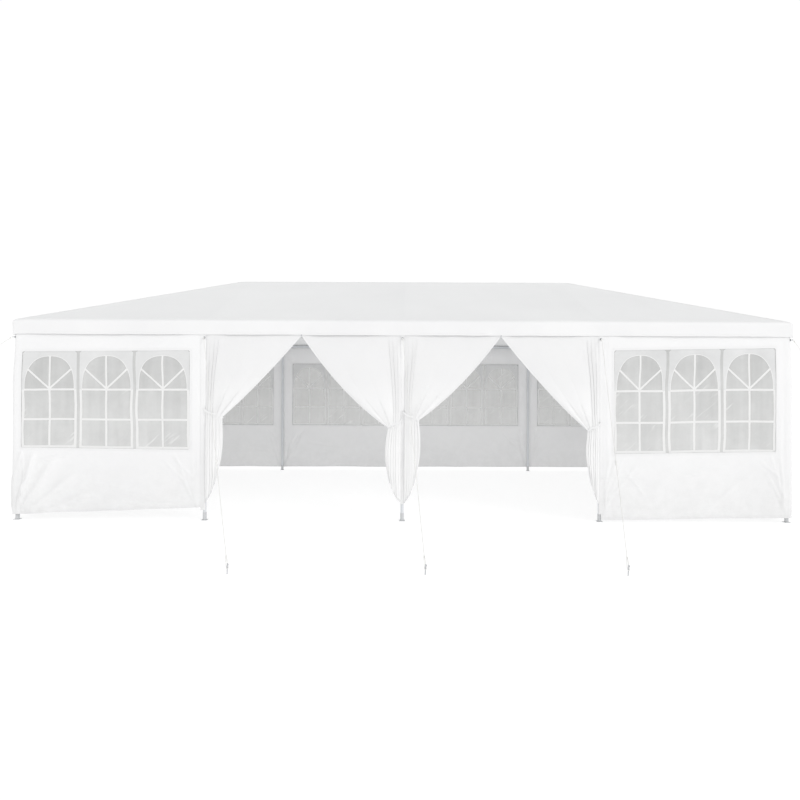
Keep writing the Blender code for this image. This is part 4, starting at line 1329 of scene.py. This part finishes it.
rope = {
    "radius": 0.003,
    "sides": 9,
    "lobe": 0.16,
    "pitch": 0.030,
    "step": 0.0042,
    "thinCord": 0.0026,
    "eyeHeight": 2.13,
    "eyeReach": 0.056,
    "eyeRing": (0.0085, 0.0075),
    "grommetReach": 0.0335,
    "doorGrommetReach": 0.0385,
    "grommetRadius": 0.0095,
    "grommetWire": 0.0032,
    "knotRadius": 0.0052,
    "knotHalf": 0.010,
    "knotTurns": 3,
    "loop": 0.10,
    "loopNeck": 0.03,
    "legsApart": 0.0035,
    "pegRadius": 0.0045,
    "pegHeight": 0.10,
    "pegStraight": 0.93,
    "pegLean": 0.03,
    "pegHook": 0.04,
    "onPeg": 0.055,
    "sliderSize": (0.055, 0.022, 0.008),
    "sliderAlong": 0.62,
    "humps": (-0.017, 0.017),
    "humpCord": 0.0028,
    "humpSize": (0.006, 0.009),
}


def addCord(shape, line):
    # Three strands laid together: a lobed section that turns along the cord.
    line = np.asarray(line, float)
    tangent = unit(np.gradient(line, axis=0))
    normal = unit(np.cross(tangent, (0.31, 0.17, 0.93)))
    other = np.cross(tangent, normal)
    around = math.tau * np.arange(rope["sides"]) / rope["sides"]
    radius = rope["radius"] * (1 + rope["lobe"] * np.cos(3 * around))
    turned = around[None] + math.tau * runAlong(line)[:, None] / rope["pitch"]
    addSleeve(shape, line[:, None] + radius[None, :, None] * (
        normal[:, None] * np.cos(turned)[..., None] + other[:, None] * np.sin(turned)[..., None]))


def makeRope(name, node, post, peg):
    up = np.array((0.0, 0.0, 1.0))
    post, ground = np.array([*post, 0.0]), np.array([*peg, 0.0])
    atCorner = abs(abs(post[0]) - tent["halfPosts"][0]) < 0.01
    eyeWay = unit(np.array([math.copysign(1, post[0]) if atCorner else 0.0, math.copysign(1, post[1]), 0.0]))
    away = unit(ground - post)
    start = post + eyeWay * (rope["eyeReach"] + rope["radius"] + 0.0006) + up * rope["eyeHeight"]
    end = ground + away * rope["pegLean"] * rope["onPeg"] / rope["pegHeight"] + up * rope["onPeg"]
    run = end - start
    length = np.linalg.norm(run)
    run /= length
    sideways = unit(np.cross(run, up))
    over = np.cross(sideways, run)
    shape = newShape()
    stop = length - rope["loop"]
    addCord(shape, start + run * np.linspace(0.012, stop, int(stop / rope["step"]))[:, None])
    # The loop at the peg: two legs from the knot, round the rod below its hook.
    knot = start + run * (stop - 0.004)
    around = rope["pegRadius"] + rope["radius"]
    neck = end - run * rope["loopNeck"]
    half = end + ringPoints(sideways, run, around, np.linspace(0, math.pi, 13))
    path = [knot + sideways * rope["legsApart"], neck + sideways * around, *half, neck - sideways * around,
            knot - sideways * rope["legsApart"]]
    fine = [path[0]]
    for a, b in zip(path, path[1:]):
        parts = max(1, int(np.linalg.norm(b - a) / 0.005))
        fine += [a + (b - a) * (k + 1) / parts for k in range(parts)]
    addCord(shape, fine)
    # Knots at both ends, and a ring of cord through the eye.
    helix = np.linspace(0, rope["knotTurns"] * math.tau, 46)
    for middle in (knot, start + run * 0.022):
        coil = middle + ringPoints(sideways, over, rope["knotRadius"], helix)
        coil = coil + np.outer(np.linspace(-rope["knotHalf"], rope["knotHalf"], len(helix)), run)
        addTube(shape, coil, rope["thinCord"], 7)
    turn = np.linspace(0, math.tau, 21)[:-1]
    ring = start + run * 0.006 + ringPoints(run, unit(np.cross(run, eyeWay) + 1e-6), rope["eyeRing"], turn)
    addTube(shape, ring, rope["thinCord"], 7, closed=True)
    # The steel eyelet in the cloth, round the eye bolt's shaft.
    atDoor = post[1] < 0 and not atCorner
    reach = rope["doorGrommetReach"] if atDoor else rope["grommetReach"]
    eyelet = post + eyeWay * reach + up * rope["eyeHeight"]
    eyelet = eyelet + ringPoints(np.cross(eyeWay, up), up, rope["grommetRadius"], turn)
    addTube(shape, eyelet, rope["grommetWire"], 8, mark=3, closed=True)
    middle = start + run * length * rope["sliderAlong"]
    addBlock(shape, middle, (run, sideways, over), rope["sliderSize"], 0.0028, mark=1)
    for offset in rope["humps"]:
        hump = middle + run * offset + ringPoints(run, over, rope["humpSize"], np.linspace(0, math.pi, 9))
        addTube(shape, hump, rope["humpCord"], 7)
    # The peg: a rod that leans away, with its top bent over.
    rise = np.linspace(0, rope["pegStraight"], 8)[:, None]
    rod = ground + rise * (away * rope["pegLean"] + up * rope["pegHeight"])
    rod[0, 2] = 0.0
    bend = np.linspace(0, 0.5 * math.pi, 7)[1:]
    radius = rope["pegHeight"] - rope["pegRadius"] - rod[-1, 2]
    hook = rod[-1] + np.outer(1 - np.cos(bend), away) * radius + np.outer(np.sin(bend), up) * radius
    tip = hook[-1] + np.outer(np.linspace(0, 1, 4)[1:], away) * (rope["pegHook"] - radius)
    addTube(shape, np.concatenate([rod, hook, tip]), rope["pegRadius"], 10, mark=2)
    piece = makePiece(name, shape, [twistedCord, paleNylon, zincSteel, darkSteel], sharp=40)
    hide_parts(node)


pegs = (
    ("left", -2.31, 0.88, -1.9),
    ("middle", 0.0, 0.22, -1.9),
    ("right", 2.31, -0.40, -1.9),
    ("leftCorner", -4.5, -1.7, -1.8),
    ("rightCorner", 4.5, 1.0, -0.7),
)
mirrored = {"left": "right", "right": "left", "leftCorner": "rightCorner", "rightCorner": "leftCorner"}
nodeNames = {"leftCorner": "left_corner", "rightCorner": "right_corner"}
for sideName, turn in (("front", 1), ("back", -1)):
    for place, postX, pegX, pegY in pegs:
        seen = place if turn > 0 else mirrored.get(place, place)
        node = f"{sideName}_{nodeNames.get(seen, seen)}_guy_rope"
        makeRope(f"{sideName}{seen[0].upper()}{seen[1:]}Rope", node, (turn * postX, -2.0 * turn),
                 (turn * (postX + pegX), turn * (-2.0 + pegY)))
print("guy ropes pegged out")

# Painted steel on the frame that shows: white paint darkened to grey-blue by painted shade, with greyer feet
for name, node in nodes.items():
    if not node.hide_render:
        for slotPlace in node.material_slots:
            slotPlace.material = paintedSteel

# Studio: a pale floor, an even sky and a broad sun from the right
studio = {
    "horizon": 1.02,
    "overhead": 0.45,
    "paleUpTo": 0.60,
    "floorGlow": 0.77,
    "floorColour": 0.32,
    "floorReach": 90.0,
    "floorDrop": 0.0005,
    "sunStrength": 0.72,
    "sunWidth": 24,
    "sunFrom": (8.0, -7.0, 6.0),
}
world = bpy.data.worlds.new("paleStudio")
bpy.context.scene.world = world
world.use_nodes = True
sky = world.node_tree
sky.nodes.clear()
way = addNode(sky, "ShaderNodeTexCoord").outputs["Generated"]
strength = rangeNode(sky, levelOf(sky, way), studio["paleUpTo"], 1.0, studio["horizon"], studio["overhead"])
backdrop = plainNode(sky, "ShaderNodeBackground", (1.0, 1.0, 1.0))
sky.links.new(strength, backdrop.inputs["Strength"])
addNode(sky, "ShaderNodeOutputWorld", None, Surface=backdrop.outputs[0])

floorMesh = bpy.data.meshes.new("floor")
far, low = studio["floorReach"], studio["floorDrop"]
corners = [(x * far, y * far, -low) for x, y in ((-1, -1), (1, -1), (1, 1), (-1, 1))]
floorMesh.from_pydata(corners, [], [(0, 1, 2, 3)])
floor = bpy.data.objects.new("floor", floorMesh)
bpy.context.scene.collection.objects.link(floor)
floorMaterial, tree = newMaterial("studioFloor")
plain = plainNode(tree, "ShaderNodeBsdfDiffuse", [studio["floorColour"]] * 3)
glow = plainNode(tree, "ShaderNodeEmission", (1.0, 1.0, 1.0))
glow.inputs["Strength"].default_value = studio["floorGlow"]
both = addNode(tree, "ShaderNodeAddShader", None, i0=plain.outputs[0], i1=glow.outputs[0])
finishMaterial(tree, both.outputs[0])
floorMesh.materials.append(floorMaterial)

sun = bpy.data.objects.new("sun", bpy.data.lights.new("sun", "SUN"))
sun.data.energy = studio["sunStrength"]
sun.data.angle = math.radians(studio["sunWidth"])
sun.rotation_euler = Vector(studio["sunFrom"]).to_track_quat("Z", "Y").to_euler()
bpy.context.scene.collection.objects.link(sun)
bpy.context.scene.view_settings.view_transform = "Standard"
print("studio lit")
